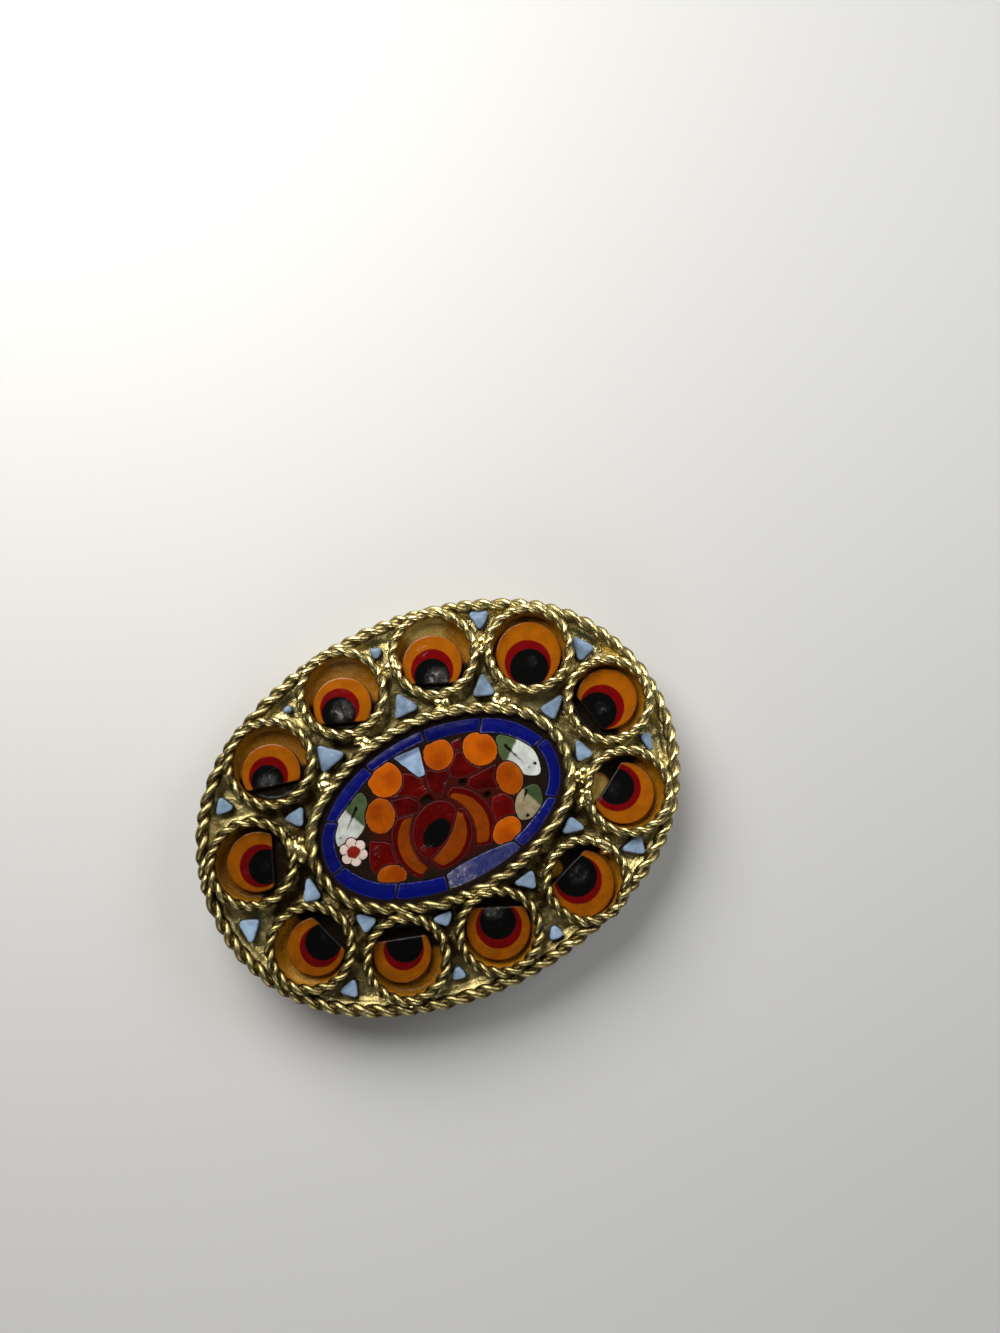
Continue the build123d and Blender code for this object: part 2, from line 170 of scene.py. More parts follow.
# The layers of each eye's cane: middle and radius of the red and of the black, from the ring's middle
# name: (red_x, red_y, red_radius, black_x, black_y, black_radius)
EYE_LAYERS = {
    "a": (-0.54, -0.74, 1.42, -0.75, -1.03, 1.17),
    "b": (-0.62, -0.84, 1.45, -0.86, -1.18, 1.24),
    "c": (-0.60, -0.96, 1.56, -0.80, -1.36, 1.31),
    "d": (-0.48, -0.84, 1.70, -0.55, -1.22, 1.42),
    "e": (-0.59, -0.24, 1.63, -0.99, -0.37, 1.38),
    "f": (-0.53, 0.56, 1.70, -0.56, 0.65, 1.31),
    "g": (-0.50, 0.25, 1.70, -0.50, 0.56, 1.49),
    "h": (0.14, 0.37, 1.63, 0.20, 0.65, 1.28),
    "i": (0.05, 0.65, 1.42, 0.28, 0.96, 1.28),
    "j": (0.56, -0.21, 1.45, 0.88, -0.03, 1.28),
    "k": (0.43, -0.41, 1.52, 0.72, -0.63, 1.24),
}
# Rough scuffs with painted silvery glints on the eyes, from the ring's middle: (x, y, size, strength)
EYE_SCUFFS_AND_GLINTS = {
    "a": (-0.75, -1.20, 0.75, 0.55),
    "b": (-0.55, -1.10, 0.80, 1.0),
    "c": (-0.55, -1.75, 0.85, 1.0),
    "d": (-0.20, -0.90, 0.45, 0.12),
    "e": (-0.60, -0.30, 0.50, 0.15),
    "f": (-0.80, 0.60, 0.50, 0.2),
    "g": (-0.30, 0.60, 0.70, 0.2),
    "h": (0.30, 1.55, 0.70, 0.9),
    "i": (0.30, 1.70, 0.40, 0.4),
    "j": (1.20, 0.30, 0.40, 0.05),
    "k": (0.70, -0.60, 0.40, 0.05),
}
# Where pale cement shows beside an eye, from the ring's middle: (x, y, size, strength)
PALE_CEMENT = {
    "a": (0.50, 2.10, 1.0, 0.15),
    "b": (0.90, 2.00, 1.2, 0.25),
    "c": (0.20, 2.20, 1.6, 1.5),
    "d": (0.00, 2.60, 0.6, 0.2),
    "e": (1.80, 1.60, 0.7, 0.2),
    "f": (-1.90, 1.20, 1.1, 0.8),
    "g": (-1.70, 1.70, 0.8, 0.3),
    "h": (-1.20, 2.00, 0.6, 0.2),
    "i": (1.40, -1.90, 1.4, 0.10),
    "j": (-1.60, -1.70, 1.3, 0.3),
    "k": (1.90, -0.90, 1.7, 0.06),
}
# Which way the straight cut of each eye faces, in degrees; the cement beyond it is painted black as shade
CUT_TURNS = {
    "a": -104,
    "b": -112,
    "c": -114,
    "d": -116,
    "e": -170,
    "f": 122,
    "g": 109,
    "h": 66,
    "i": 72,
    "j": 19,
    "k": -22,
}
# How much darker the cement is in some of the rings, from 0 to 1, as painted shade
SHADED_CEMENT = {
    "a": 0.15,
    "i": 0.45,
    "k": 0.50,
}
# Lumps of solder along the centre rope and the rings: (x, y)
SOLDER_LUMPS = (
    (-10.39, 1.80),
    (-6.78, 4.86),
    (-3.04, 6.26),
    (1.29, 10.33),
    (3.13, 6.17),
    (7.64, 8.81),
    (7.16, 4.57),
    (10.07, -2.88),
    (9.55, -4.36),
    (9.28, -7.82),
)
# The smooth pool of solder at the left end: (x, y, long_radius, short_radius, height, level, turn)
# Its level is from the middle of the centre rope, its turn in degrees
SOLDER_POOL = (-10.38, 1.20, 0.95, 0.65, 0.45, -0.25, 100)
# From here on, places in the field of glass are shares of its half length and half width, from its middle.
# Radii are in millimetres and turns in degrees.
# The black core of the rose's heart: (x, y, long_radius, short_radius, turn)
HEART_CORE = (-0.120, -0.265, 1.20, 0.80, 24)
# The orange crescents in its petals, each between an outer and an inner arc: start, middle, end
# name: (outer_arc, inner_arc)
CRESCENTS = {
    "rose_petal_left": (
        ((-0.300, 0.075), (-0.432, -0.220), (-0.355, -0.650)),
        ((-0.235, 0.050), (-0.338, -0.250), (-0.300, -0.600)),
    ),
    "rose_petal_inner": (
        ((-0.190, -0.660), (0.050, -0.520), (0.120, -0.180)),
        ((-0.235, -0.545), (-0.045, -0.385), (0.100, -0.130)),
    ),
    "rose_petal_outer": (
        ((0.120, 0.100), (0.285, -0.280), (0.205, -0.640)),
        ((0.090, 0.070), (0.180, -0.280), (0.122, -0.600)),
    ),
}
# Where each leaf turns green and which way the green lies, and the dark notch in it
# name: (green_x, green_y, green_turn, notch_start, notch_end, notch_width)
LEAVES = {
    "leaf_top": (0.660, 0.220, 128, (0.655, 0.340), (0.722, 0.040), 0.22),
    "leaf_left": (-0.645, 0.370, 24, (-0.595, 0.470), (-0.735, 0.270), 0.22),
    "leaf_right": (0.645, -0.330, 20, (0.645, -0.290), (0.585, -0.400), 0.20),
}
# Dark specks in the leaves: (x, y, radius)
LEAF_DOTS = (
    (0.745, -0.040, 0.09),
    (0.800, -0.030, 0.13),
    (-0.800, 0.220, 0.07),
    (0.570, -0.575, 0.13),
)
# The white flower: its red middle, and the first of the dark slits between its six petals
FLOWER_MIDDLE_RADIUS = 0.47
FLOWER_SLIT_TURN = 50
FLOWER_SLIT_WIDTH = 0.09
# The band's tiles that differ: how lavender (0 to 1), how scuffed with painted glints, and the painted
# inner-edge highlight
# name: (lavender, scuff, lit_edge)
BAND_LOOKS = {
    "band_tile_01": (0.25, 0.0, 0.2),
    "band_tile_02": (0.20, 0.0, 0.0),
    "band_tile_03": (0.00, 0.0, 0.5),
    "band_tile_08": (1.00, 0.9, 0.3),
    "band_tile_09": (0.50, 0.1, 0.5),
}
PLAIN_BAND = (0.20, 0.0, 0.1)
# From here up the light blue corner piece is painted greyer, as shade
SKY_TILE_GREY_FROM = 0.76
# Open holes in the filler between the pieces of the field: (x, y, radius)
FIELD_HOLES = (
    (-0.08, 0.15, 0.45),
    (0.23, 0.16, 0.30),
    (0.36, -0.12, 0.25),
    (-0.64, -0.10, 0.30),
)
# The filler is red inside this oval and black outside it
RED_FILLER_HALF = (0.66, 0.80)

# How far the filler lies below the glass, and how deep the holes in it are
FILLER_DROP = 0.07
HOLE_DEPTH = 0.30
# How far a line of wire can be from a lump of solder and still be covered
LUMP_REACH = 0.75
# Rings whose wires come closer than this are joined by lumps of solder, at these steps along the joint
RING_JOINT_GAP = 0.5
RING_JOINT_STEPS = (-0.45, 0.1, 0.5)
RING_JOINT_DROP = 0.12
RING_JOINT_RADII = (0.42, 0.34, 0.38)
# The lumps that join a ring to another rope: how far apart the two wires can be, and the lump's size
CENTRE_JOINT_REACH = 1.1
BORDER_JOINT_REACH = 0.9
ROPE_JOINT_DROP = 0.20
ROPE_JOINT_RADII = (0.70, 0.42, 0.48)

# The lumps of solder are numbered from here, and each takes its shape from its number
FIRST_SOLDER_SEED = 61

# The cement of a ring creeps up its strip, is heaped where it is pale, and is bumpy
CEMENT_CREEP = 0.42
CEMENT_HEAP = 0.16
CEMENT_BUMPS = 0.05
# Rows of points across the cement of a ring, from its middle, as shares of its radius
RING_BED_STEPS = (0.0, 0.3, 0.5, 0.62, 0.72, 0.78, 0.83, 0.87, 0.9, 0.93, 0.96, 0.98, 1.0)

# A rope's twist; its radii, reach and dents are shares of its diameter
STRAND_RADIUS = 0.25705
STRAND_REACH = 0.232
CORE_RADIUS = 0.29
SOLDERED_CORE_RADIUS = 0.47
STRAND_DENTS = 0.05
STRAND_UNEVENNESS = 0.10
TWIST_STRAY = 0.9
STRAND_SIDES = 12
SAMPLES_PER_LOBE = 10
# How much wider the lobes reach than the plain tube, which is as wide as the rope is on average
LOBE_REACH = 1.07

# The plate's floor: fillets of solder along the strips, waves between them, and its rounded edge
FILLET_HEIGHT = 0.32
FILLET_REACH = 0.18
FLOOR_WAVES = 0.05
EDGE_ROUNDING = 0.16
# How wavy the strips are
STRIP_WAVES = 0.02
# The steepest that a piece of glass leans
LARGEST_LEAN = 0.02
# The pieces of the field sit tight: their edges are sharper, and they nearly touch
FIELD_FIT = {"round_by": 0.5, "grow": 0.025, "chipping": 0.03}

# The riper part of a bud: how far its middle lies from the bud's, and its radius
RIPE_AWAY = 0.45
RIPE_RADIUS = 0.62

# The direction, on the plate, in which painted shade darkens the gilding and the eyes
SHADE_WAY = (-0.73, -0.69)

# Colours of dirt and wear, and of painted shade and glints, which stay as they are
RUBBED_GILT = (0.92, 0.82, 0.55, 1)
# Brown lacquer on the floor, which also paints the shade between the rings and the centre rope
FLOOR_BROWN = (0.050, 0.031, 0.008, 1)
EDGE_DIRT = (0.012, 0.008, 0.006, 1)
# Grey of scratches, and of painted glints and highlights on the glass
SCRATCH_AND_GLINT_GREY = (0.50, 0.48, 0.48, 1)
# Black of the painted shade in the cement past an eye's cut
SHADE_BLACK_CEMENT = (0.006, 0.004, 0.002, 1)
CEMENT_GRAINS = (0.02, 0.012, 0.004, 1)
LACQUERED_CEMENT = (0.36, 0.140, 0.005, 1)
FILLER_RED = (0.050, 0.001, 0.001, 1)
# Painted shade on the greyer part of the corner piece
SKY_SHADE = (0.10, 0.14, 0.23, 1)
LEAF_CREAM = (0.33, 0.27, 0.16, 1)
FLOWER_WHITE = (0.54, 0.44, 0.38, 1)
FLOWER_SLIT = (0.10, 0.03, 0.02, 1)
FLOWER_RED = (0.16, 0.010, 0.006, 1)

# The stage: lengths in millimetres, and how bright the world around it is
FLOOR_SIZE = 1200
WARM_LIGHT = (1.0, 0.98, 0.94)
WORLD_STRENGTH = 0.055
# The lights: (name, place, diameter, watts, colour)
LIGHTS = (
    ("key", (-5.0, 122.2, 118.0), 137.0, 0.375, WARM_LIGHT),
    ("fill", (200.0, 20.0, 160.0), 120.0, 0.18, (0.95, 0.97, 1.0)),
    ("low", (-100.0, -180.0, 120.0), 120.0, 0.10, (1.0, 1.0, 1.0)),
)


class BroochSizes(PropertyGroup):
    """Sizes that a user would change."""

    border_lobes: IntProperty(
        name="Border Lobes", description="Turns of wire seen round the border rope", default=76, min=8
    )
    ring_lobes: IntProperty(
        name="Ring Lobes", description="Turns of wire seen round each ring", default=18, min=8
    )
    centre_lobes: IntProperty(
        name="Centre Lobes", description="Turns of wire seen round the centre rope", default=40, min=8
    )
    wire_waver: FloatProperty(
        name="Wire Waver",
        description="How far the ropes stray from their line",
        default=0.04 * MILLIMETRE,
        unit="LENGTH",
    )
    glass_rounding: FloatProperty(
        name="Glass Rounding",
        description="Radius of the ground edges of the glass",
        default=0.12 * MILLIMETRE,
        unit="LENGTH",
    )
    glass_spacing: FloatProperty(
        name="Glass Spacing",
        description="Distance between the points of the glass meshes",
        default=0.1 * MILLIMETRE,
        unit="LENGTH",
    )


def colour_property(name, description, red, green, blue):
    """A colour that a user can change."""
    return FloatVectorProperty(
        name=name,
        description=description,
        default=(red, green, blue, 1.0),
        size=4,
        subtype="COLOR",
        min=0,
        max=1,
    )


class BroochColours(PropertyGroup):
    """Colours that a user would change."""

    gilt: colour_property("Gilt", "Pale gilding on the wires", 0.94, 0.77, 0.32)
    # Gilt Brown also paints the shade under the wires, the lumps of solder and between the rings
    gilt_brown: colour_property("Gilt Brown", "Old lacquer in the gilding's hollows", 0.042, 0.024, 0.004)
    # Amber: lacquer on the rings' inner walls, and a painted reflection of the orange eyes in them
    amber: colour_property("Amber", "Lacquered inner walls of the rings", 0.40, 0.185, 0.012)
    cement: colour_property("Cement", "Pale mosaic cement", 0.66, 0.48, 0.12)
    dark_cement: colour_property("Dark Cement", "Black cement under the flowers", 0.008, 0.004, 0.003)
    eye_orange: colour_property("Eye Orange", "Outer glass of the eyes", 0.28, 0.076, 0.001)
    eye_red: colour_property("Eye Red", "Red glass of the eyes", 0.125, 0.001, 0.002)
    black: colour_property("Black", "Black glass", 0.002, 0.002, 0.002)
    sky: colour_property("Sky", "Light blue glass", 0.25, 0.35, 0.49)
    navy: colour_property("Navy", "Dark blue glass of the band", 0.001, 0.003, 0.105)
    bud: colour_property("Bud", "Bright orange glass", 0.40, 0.078, 0.0006)
    ripe: colour_property("Ripe", "Deeper orange in the buds", 0.31, 0.050, 0.0006)
    lavender: colour_property("Lavender", "Paler glass in the band", 0.022, 0.028, 0.13)
    crescent: colour_property("Crescent", "Orange glass in the rose's petals", 0.24, 0.042, 0.001)
    petal_red: colour_property("Petal Red", "Dark red glass", 0.080, 0.001, 0.0008)
    leaf_green: colour_property("Leaf Green", "Green glass", 0.052, 0.082, 0.030)
    milk: colour_property("Milk", "White glass", 0.47, 0.49, 0.455)


class BroochStage(PropertyGroup):
    """Camera, floor and light."""

    tilt: FloatProperty(
        name="Tilt",
        description="The camera's angle from straight down",
        default=radians(8.0),
        subtype="ANGLE",
    )
    turn: FloatProperty(
        name="Turn",
        description="The camera's turn about the vertical",
        default=radians(-26.42),
        subtype="ANGLE",
    )
    place: FloatVectorProperty(
        name="Place",
        description="Where the camera stands",
        default=(3.75 * MILLIMETRE, -2.28 * MILLIMETRE, 76.96 * MILLIMETRE),
        subtype="TRANSLATION",
        unit="LENGTH",
    )
    lens: FloatProperty(name="Lens", description="Focal length in millimetres", default=27.03)
    floor: colour_property("Floor", "The floor's colour", 0.62, 0.62, 0.61)


# Shapes in millimetres


class Form:
    """Points, faces and painted values of a piece while it is being made."""

    def __init__(self):
        self.points = []
        self.faces = []
        self.painted = {}
        self.count = 0

    def add(self, points, faces, **painted):
        """Add a part; painted holds a value, or one value a point, for each named layer."""
        self.points.append(np.asarray(points, float))
        self.faces.extend(tuple(self.count + int(corner) for corner in face) for face in faces)
        for name, values in painted.items():
            spread = np.broadcast_to(np.asarray(values, float), (len(points),))
            self.painted.setdefault(name, []).append(spread)
        self.count += len(points)

    def finish(self, name, material, slot, *nodes):
        """Make the piece, in metres, on the body that all of the brooch belongs to."""
        mesh = bpy.data.meshes.new(name)
        points = np.concatenate(self.points) * MILLIMETRE
        mesh.from_pydata(points.tolist(), [], self.faces)
        for layer, values in self.painted.items():
            attribute = mesh.attributes.new(layer, "FLOAT", "POINT")
            attribute.data.foreach_set("value", np.concatenate(values).astype(np.float32))
        mesh.shade_smooth()
        mesh.materials.append(material)
        piece = bpy.data.objects.new(name, mesh)
        bpy.context.scene.collection.objects.link(piece)
        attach(piece, "root")
        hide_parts(*nodes)


def unit(vectors):
    """Vectors of length one."""
    return vectors / np.linalg.norm(vectors, axis=-1, keepdims=True)


def distances(points, place):
    """How far each point lies from a place."""
    return np.linalg.norm(points - np.array(place), axis=1)


def pointing(turn):
    """The direction of an angle in radians."""
    return np.array([cos(turn), sin(turn)])


def lumps(points, scale, seed):
    """Smooth noise from about -1 to 1 at each point; scale is the size of a lump."""
    shift = Vector((seed * 7.31, seed * 3.17, seed * 5.53))
    return np.array([noise.noise(Vector(point) / scale + shift) for point in np.asarray(points, float)])


def as_3d(flat, height):
    """Flat points raised to a height, or to one height each."""
    return np.column_stack([flat, np.broadcast_to(height, (len(flat),))])


def smooth(values, low, high):
    """Zero below low, one above high, with a soft rise between."""
    share = np.clip((values - low) / (high - low), 0, 1)
    return share * share * (3 - 2 * share)


def oval_line(half_long, half_short, end_radius, count, middle=(0.0, 0.0)):
    """Evenly spaced points round an oval of four tangent arcs, counter-clockwise from +X, and outward."""
    end_middle = half_long - end_radius
    flank_radius = (half_long**2 + half_short**2 - 2 * half_long * end_radius) / (
        2 * (half_short - end_radius)
    )
    join = atan2(flank_radius - half_short, end_middle)
    breaks = np.array([0, join, pi - join, pi + join, TURN - join, TURN])
    radii = np.array([end_radius, flank_radius, end_radius, flank_radius, end_radius])
    run = np.concatenate([[0], np.cumsum(np.diff(breaks) * radii)])
    angle = np.interp(np.arange(count) / count * run[-1], run, breaks)
    outward = np.column_stack([np.cos(angle), np.sin(angle)])
    part = np.searchsorted(breaks, angle, side="right") - 1
    drop = flank_radius - half_short
    arc_middles = np.array([(end_middle, 0), (0, -drop), (-end_middle, 0), (0, drop), (end_middle, 0)])
    return arc_middles[part] + outward * radii[part][:, None] + np.array(middle), outward


def brooch_line(count, inset=0.0):
    """Points round the brooch's edge, or round an oval inside it, and outward."""
    return oval_line(HALF_LENGTH - inset, HALF_WIDTH - inset, BROOCH_END_RADIUS - inset, count)


def centre_line(count, inset=0.0):
    """Points round the middle line of the centre strip, or round an oval inside it, and outward."""
    return oval_line(
        CENTRE_HALF_LENGTH - inset,
        CENTRE_HALF_WIDTH - inset,
        CENTRE_END_RADIUS - inset,
        count,
        FIELD_MIDDLE,
    )


def in_field(x, y):
    """A place in the field of glass, from shares of its half length and half width."""
    return FIELD_MIDDLE + np.array([x, y]) * FIELD_HALF


def circle_line(middle, radius, count):
    """Evenly spaced points round a circle, and outward."""
    angle = np.arange(count) * TURN / count
    outward = np.column_stack([np.cos(angle), np.sin(angle)])
    return np.array(middle) + radius * outward, outward


def rows_to_faces(rows, sides, closed):
    """Quads between neighbouring rings of points; closed joins the last ring to the first."""
    faces = []
    for row in range(rows if closed else rows - 1):
        here = row * sides
        there = (row + 1) % rows * sides
        for side in range(sides):
            beyond = (side + 1) % sides
            faces.append((here + side, here + beyond, there + beyond, there + side))
    return faces


def turned_over(faces):
    """Faces that look the other way."""
    return [tuple(reversed(face)) for face in faces]


def stacked_faces(rows, sides):
    """Faces of a solid made of rings of points: its sides, and a cap on the first and the last ring."""
    faces = turned_over(rows_to_faces(rows, sides, False))
    faces.append(tuple(range(sides)))
    faces.append(tuple(reversed(range((rows - 1) * sides, rows * sides))))
    return faces


def tube(middle, towards, radius):
    """A closed round tube along points. towards points away from the line, to steady the sections."""
    along = unit(np.roll(middle, -1, 0) - np.roll(middle, 1, 0))
    side = unit(towards - (towards * along).sum(1, keepdims=True) * along)
    other = np.cross(along, side)
    angle = np.arange(STRAND_SIDES) * TURN / STRAND_SIDES
    spread = np.cos(angle)[None, :, None] * side[:, None] + np.sin(angle)[None, :, None] * other[:, None]
    points = (middle[:, None] + radius[:, None, None] * spread).reshape(-1, 3)
    return points, rows_to_faces(len(middle), STRAND_SIDES, True)


def rope(form, line, outward, height, diameter, lobes, seed, solder):
    """Two strands of wire twisted round each other, on a core that swells where solder is."""
    diameter = diameter * LOBE_REACH
    middle = as_3d(line, height)
    sideways = as_3d(outward, 0.0)
    waver = bpy.context.scene.brooch_sizes.wire_waver / MILLIMETRE
    middle += sideways * (waver * lumps(middle, 1.6, seed))[:, None]
    middle[:, 2] += waver * (lumps(middle, 1.6, seed + 1) - 1)
    unevenness = lumps(middle, 1.1, seed + 2)
    share = np.arange(len(line)) / len(line)
    twist = -pi * lobes * share + TWIST_STRAY * lumps(middle, 2.4, seed + 3)
    solder_round = np.repeat(solder, STRAND_SIDES)
    for strand in range(2):
        angle = twist + pi * strand + seed
        towards = np.cos(angle)[:, None] * sideways + np.sin(angle)[:, None] * np.array([0, 0, 1.0])
        reach = STRAND_REACH * diameter * (1 - 0.25 * solder)
        radius = STRAND_RADIUS * diameter * (1 + STRAND_UNEVENNESS * unevenness * (-1) ** strand)
        strand_middle = middle + towards * reach[:, None]
        points, faces = tube(strand_middle, towards, radius)
        away = unit(points - np.repeat(strand_middle, STRAND_SIDES, 0))
        dents = STRAND_DENTS * diameter * np.maximum(lumps(points, 0.30, seed + 5), 0)
        points = points - away * dents[:, None]
        from_middle = np.linalg.norm(points - np.repeat(middle, STRAND_SIDES, 0), axis=1)
        # Brown lacquer and painted shade in the grooves, and painted shade on the strands' lower sides
        inner_side = 1 - smooth(from_middle / diameter, 0.375, 0.475)
        shaded_lower_side = 1 - smooth((points[:, 2] - height) / diameter, 0.10, 0.42)
        hollow = np.maximum(inner_side, shaded_lower_side) * (1 - 0.6 * solder_round)
        form.add(points, faces, hollow=hollow, amber=0.0)
    core_radius = CORE_RADIUS + (SOLDERED_CORE_RADIUS - CORE_RADIUS) * solder
    points, faces = tube(middle, sideways, diameter * core_radius * (1 + 0.04 * unevenness))
    form.add(points, faces, hollow=1 - solder_round, amber=0.0)


def wall(form, line, outward, high, seed, lacquer):
    """A closed, slightly wavy strip on the plate. lacquer, 0 to 1, is its inner face's amber lacquer and
    painted reflection.
    """
    half = STRIP_THICKNESS / 2
    levels = np.linspace(PLATE_TOP - WIRE_SEAT, high, 5)
    section = np.array([(-half, level) for level in levels[::-1]] + [(half, level) for level in levels])
    points = line[:, None] + outward[:, None] * section[None, :, :1]
    heights = np.broadcast_to(section[None, :, 1], points.shape[:2])
    points = np.dstack([points, heights]).reshape(-1, 3)
    sideways = np.repeat(as_3d(outward, 0.0), len(section), 0)
    points = points + sideways * (STRIP_WAVES * lumps(points, 0.7, seed))[:, None]
    inner = np.tile((section[:, 0] < 0).astype(float), len(line))
    faces = turned_over(rows_to_faces(len(line), len(section), True))
    # Painted shade on the outer face, browner towards the plate
    depth = smooth(high - points[:, 2], 0.0, 0.8)
    # Amber on the inner face: lacquer, and a painted reflection of the orange eyes in the gold
    form.add(points, faces, hollow=depth * (1 - inner), amber=inner * lacquer)


def evenly(outline, spacing):
    """A closed outline with evenly spaced points."""
    around = np.vstack([outline, outline[:1]])
    run = np.concatenate([[0], np.cumsum(np.linalg.norm(np.diff(around, axis=0), axis=1))])
    count = max(12, int(round(run[-1] / spacing)))
    place = np.arange(count) / count * run[-1]
    return np.column_stack([np.interp(place, run, around[:, axis]) for axis in range(2)])


def softened(outline, times):
    """An outline with its corners worn down."""
    for _ in range(times):
        outline = (np.roll(outline, 1, 0) + 2 * outline + np.roll(outline, -1, 0)) / 4
    return outline


def inward_of(outline):
    """Directions to the inside of a counter-clockwise outline."""
    along = unit(np.roll(outline, -1, 0) - np.roll(outline, 1, 0))
    return np.column_stack([-along[:, 1], along[:, 0]])


def distance_to(outline, points):
    """How far each point lies inside an outline; negative outside."""
    start = outline[None]
    run = np.roll(outline, -1, 0)[None] - start
    offset = points[:, None] - start
    share = np.clip((offset * run).sum(2) / (run**2).sum(2), 0, 1)
    distance = np.linalg.norm(offset - share[:, :, None] * run, axis=2).min(1)
    low, high = outline[:, 1], np.roll(outline, -1, 0)[:, 1]
    above = (low[None] > points[:, 1:]) != (high[None] > points[:, 1:])
    slope = (points[:, 1:] - low[None]) / np.where(high == low, 1e-9, high - low)[None]
    crossing = outline[:, 0][None] + slope * run[:, :, 0]
    inside = (above & (points[:, :1] < crossing)).sum(1) % 2 == 1
    return np.where(inside, distance, -distance)


# Rows of a grid of even triangles, as a share of its points' spacing
GRID_ROW_STEP = 0.87


def pillow(outline, bottom, top, rounding, spacing, crown, unevenness, seed):
    """A flat piece with a rounded upper edge: its points, its faces, and how far in each point lies."""
    inward = inward_of(outline)
    wanted = [share * rounding for share in (0.12, 0.35, 0.65, 1.0)]
    rows = [outline + inward * inset for inset in wanted]
    needed = [np.full(len(outline), inset * 0.93) for inset in wanted]
    low, high = outline.min(0), outline.max(0)
    across = np.arange(low[0], high[0], spacing)
    up = np.arange(low[1], high[1], spacing * GRID_ROW_STEP)
    grid = np.array([(x + spacing / 2 * (row % 2), y) for row, y in enumerate(up) for x in across])
    candidates = np.concatenate([*rows, grid])
    needed.append(np.full(len(grid), rounding + spacing / 2))
    kept = candidates[distance_to(outline, candidates) >= np.concatenate(needed)]
    count = len(outline)
    edges = [(corner, (corner + 1) % count) for corner in range(count)]
    flat, _, faces, origins, _, _ = delaunay_2d_cdt(
        [Vector(point) for point in np.concatenate([outline, kept])], edges, [], 1, 1e-7
    )
    flat = np.array([tuple(point) for point in flat])
    edge_place = {}
    for place, sources in enumerate(origins):
        for source in sources:
            if source < count:
                edge_place[source] = place
    edge = np.maximum(distance_to(outline, flat), 0)
    edge[list(edge_place.values())] = 0
    lean = 1 - np.minimum(edge, rounding) / rounding
    height = top - rounding * (1 - np.sqrt(1 - lean**2))
    height -= crown * (1 - smooth(edge, 0, max(edge.max(), rounding)))
    height -= unevenness * (1 + lumps(as_3d(flat, seed), 0.45, seed)) / 2
    points = as_3d(flat, height)
    faces = [tuple(face) for face in faces]
    loop = [edge_place[corner] for corner in range(count)]
    foot = as_3d(outline, bottom)
    start = len(points)
    for corner in range(count):
        beyond = (corner + 1) % count
        faces.append((loop[corner], start + corner, start + beyond, loop[beyond]))
    faces.append(tuple(start + corner for corner in reversed(range(count))))
    return np.vstack([points, foot]), faces, np.concatenate([edge, np.zeros(count)])


# Shader building


def add_node(tree, kind, setup=None, **inputs):
    """Add a shader node. setup holds its own settings; inputs its sockets' values or links.

    A socket is given by its name, with _ for a space, or by its number after a _.
    """
    node = tree.nodes.new(kind)
    for name, value in (setup or {}).items():
        setattr(node, name, value)
    for name, value in inputs.items():
        socket = node.inputs[int(name[1:])] if name[0] == "_" else node.inputs[name.replace("_", " ")]
        if isinstance(value, bpy.types.NodeSocket):
            tree.links.new(value, socket)
        else:
            socket.default_value = value
    return node


def arithmetic(tree, operation, first, second=0.0):
    """The result of a Math node."""
    return add_node(tree, "ShaderNodeMath", {"operation": operation}, _0=first, _1=second).outputs[0]


def plus(tree, first, second):
    """The sum of two values."""
    return arithmetic(tree, "ADD", first, second)


def minus(tree, first, second):
    """The first value less the second."""
    return arithmetic(tree, "SUBTRACT", first, second)


def times(tree, first, second):
    """The product of two values."""
    return arithmetic(tree, "MULTIPLY", first, second)


def larger(tree, first, second):
    """The larger of two values."""
    return arithmetic(tree, "MAXIMUM", first, second)


def scaled(tree, vector, factor):
    """A vector or a colour times a value."""
    return add_node(tree, "ShaderNodeVectorMath", {"operation": "SCALE"}, _0=vector, Scale=factor).outputs[0]


def blend_colours(tree, share, first, second, mode="MIX"):
    """The colour of a Mix node."""
    setup = {"data_type": "RGBA", "blend_type": mode}
    return add_node(tree, "ShaderNodeMix", setup, _0=share, _6=first, _7=second).outputs[2]


def rise(tree, value, low, high, bottom=0.0, top=1.0):
    """A value that rises softly from bottom to top between low and high."""
    setup = {"interpolation_type": "SMOOTHSTEP"}
    node = add_node(tree, "ShaderNodeMapRange", setup, _0=value, _1=low, _2=high, _3=bottom, _4=top)
    return node.outputs[0]


def painted(tree, layer):
    """A layer of values that a mesh carries."""
    return add_node(tree, "ShaderNodeAttribute", {"attribute_name": layer}).outputs["Fac"]


def in_millimetres(tree):
    """The place on the piece, in millimetres."""
    return scaled(tree, add_node(tree, "ShaderNodeTexCoord").outputs["Object"], 1 / MILLIMETRE)


def noise_value(tree, place, size, detail=3.0, roughness=0.55, distortion=0.0):
    """Noise from 0 to 1, with lumps of a size in millimetres."""
    return add_node(
        tree,
        "ShaderNodeTexNoise",
        Vector=place,
        Scale=1 / size,
        Detail=detail,
        Roughness=roughness,
        Distortion=distortion,
    ).outputs[0]


def new_group(name, inputs, outputs):
    """A shader node group: each input is (name, default), a colour or a value, each output (name, kind)."""
    group = bpy.data.node_groups.new(name, "ShaderNodeTree")
    for socket_name, default in inputs:
        kind = "NodeSocketColor" if isinstance(default, tuple) else "NodeSocketFloat"
        socket = group.interface.new_socket(socket_name, in_out="INPUT", socket_type=kind)
        socket.default_value = default
    for socket_name, kind in outputs:
        group.interface.new_socket(socket_name, in_out="OUTPUT", socket_type="NodeSocket" + kind)
    return group, add_node(group, "NodeGroupInput").outputs, add_node(group, "NodeGroupOutput").inputs


# What a group for a surface puts out
SURFACE_OUTPUTS = (("Color", "Color"), ("Roughness", "Float"), ("Height", "Float"))


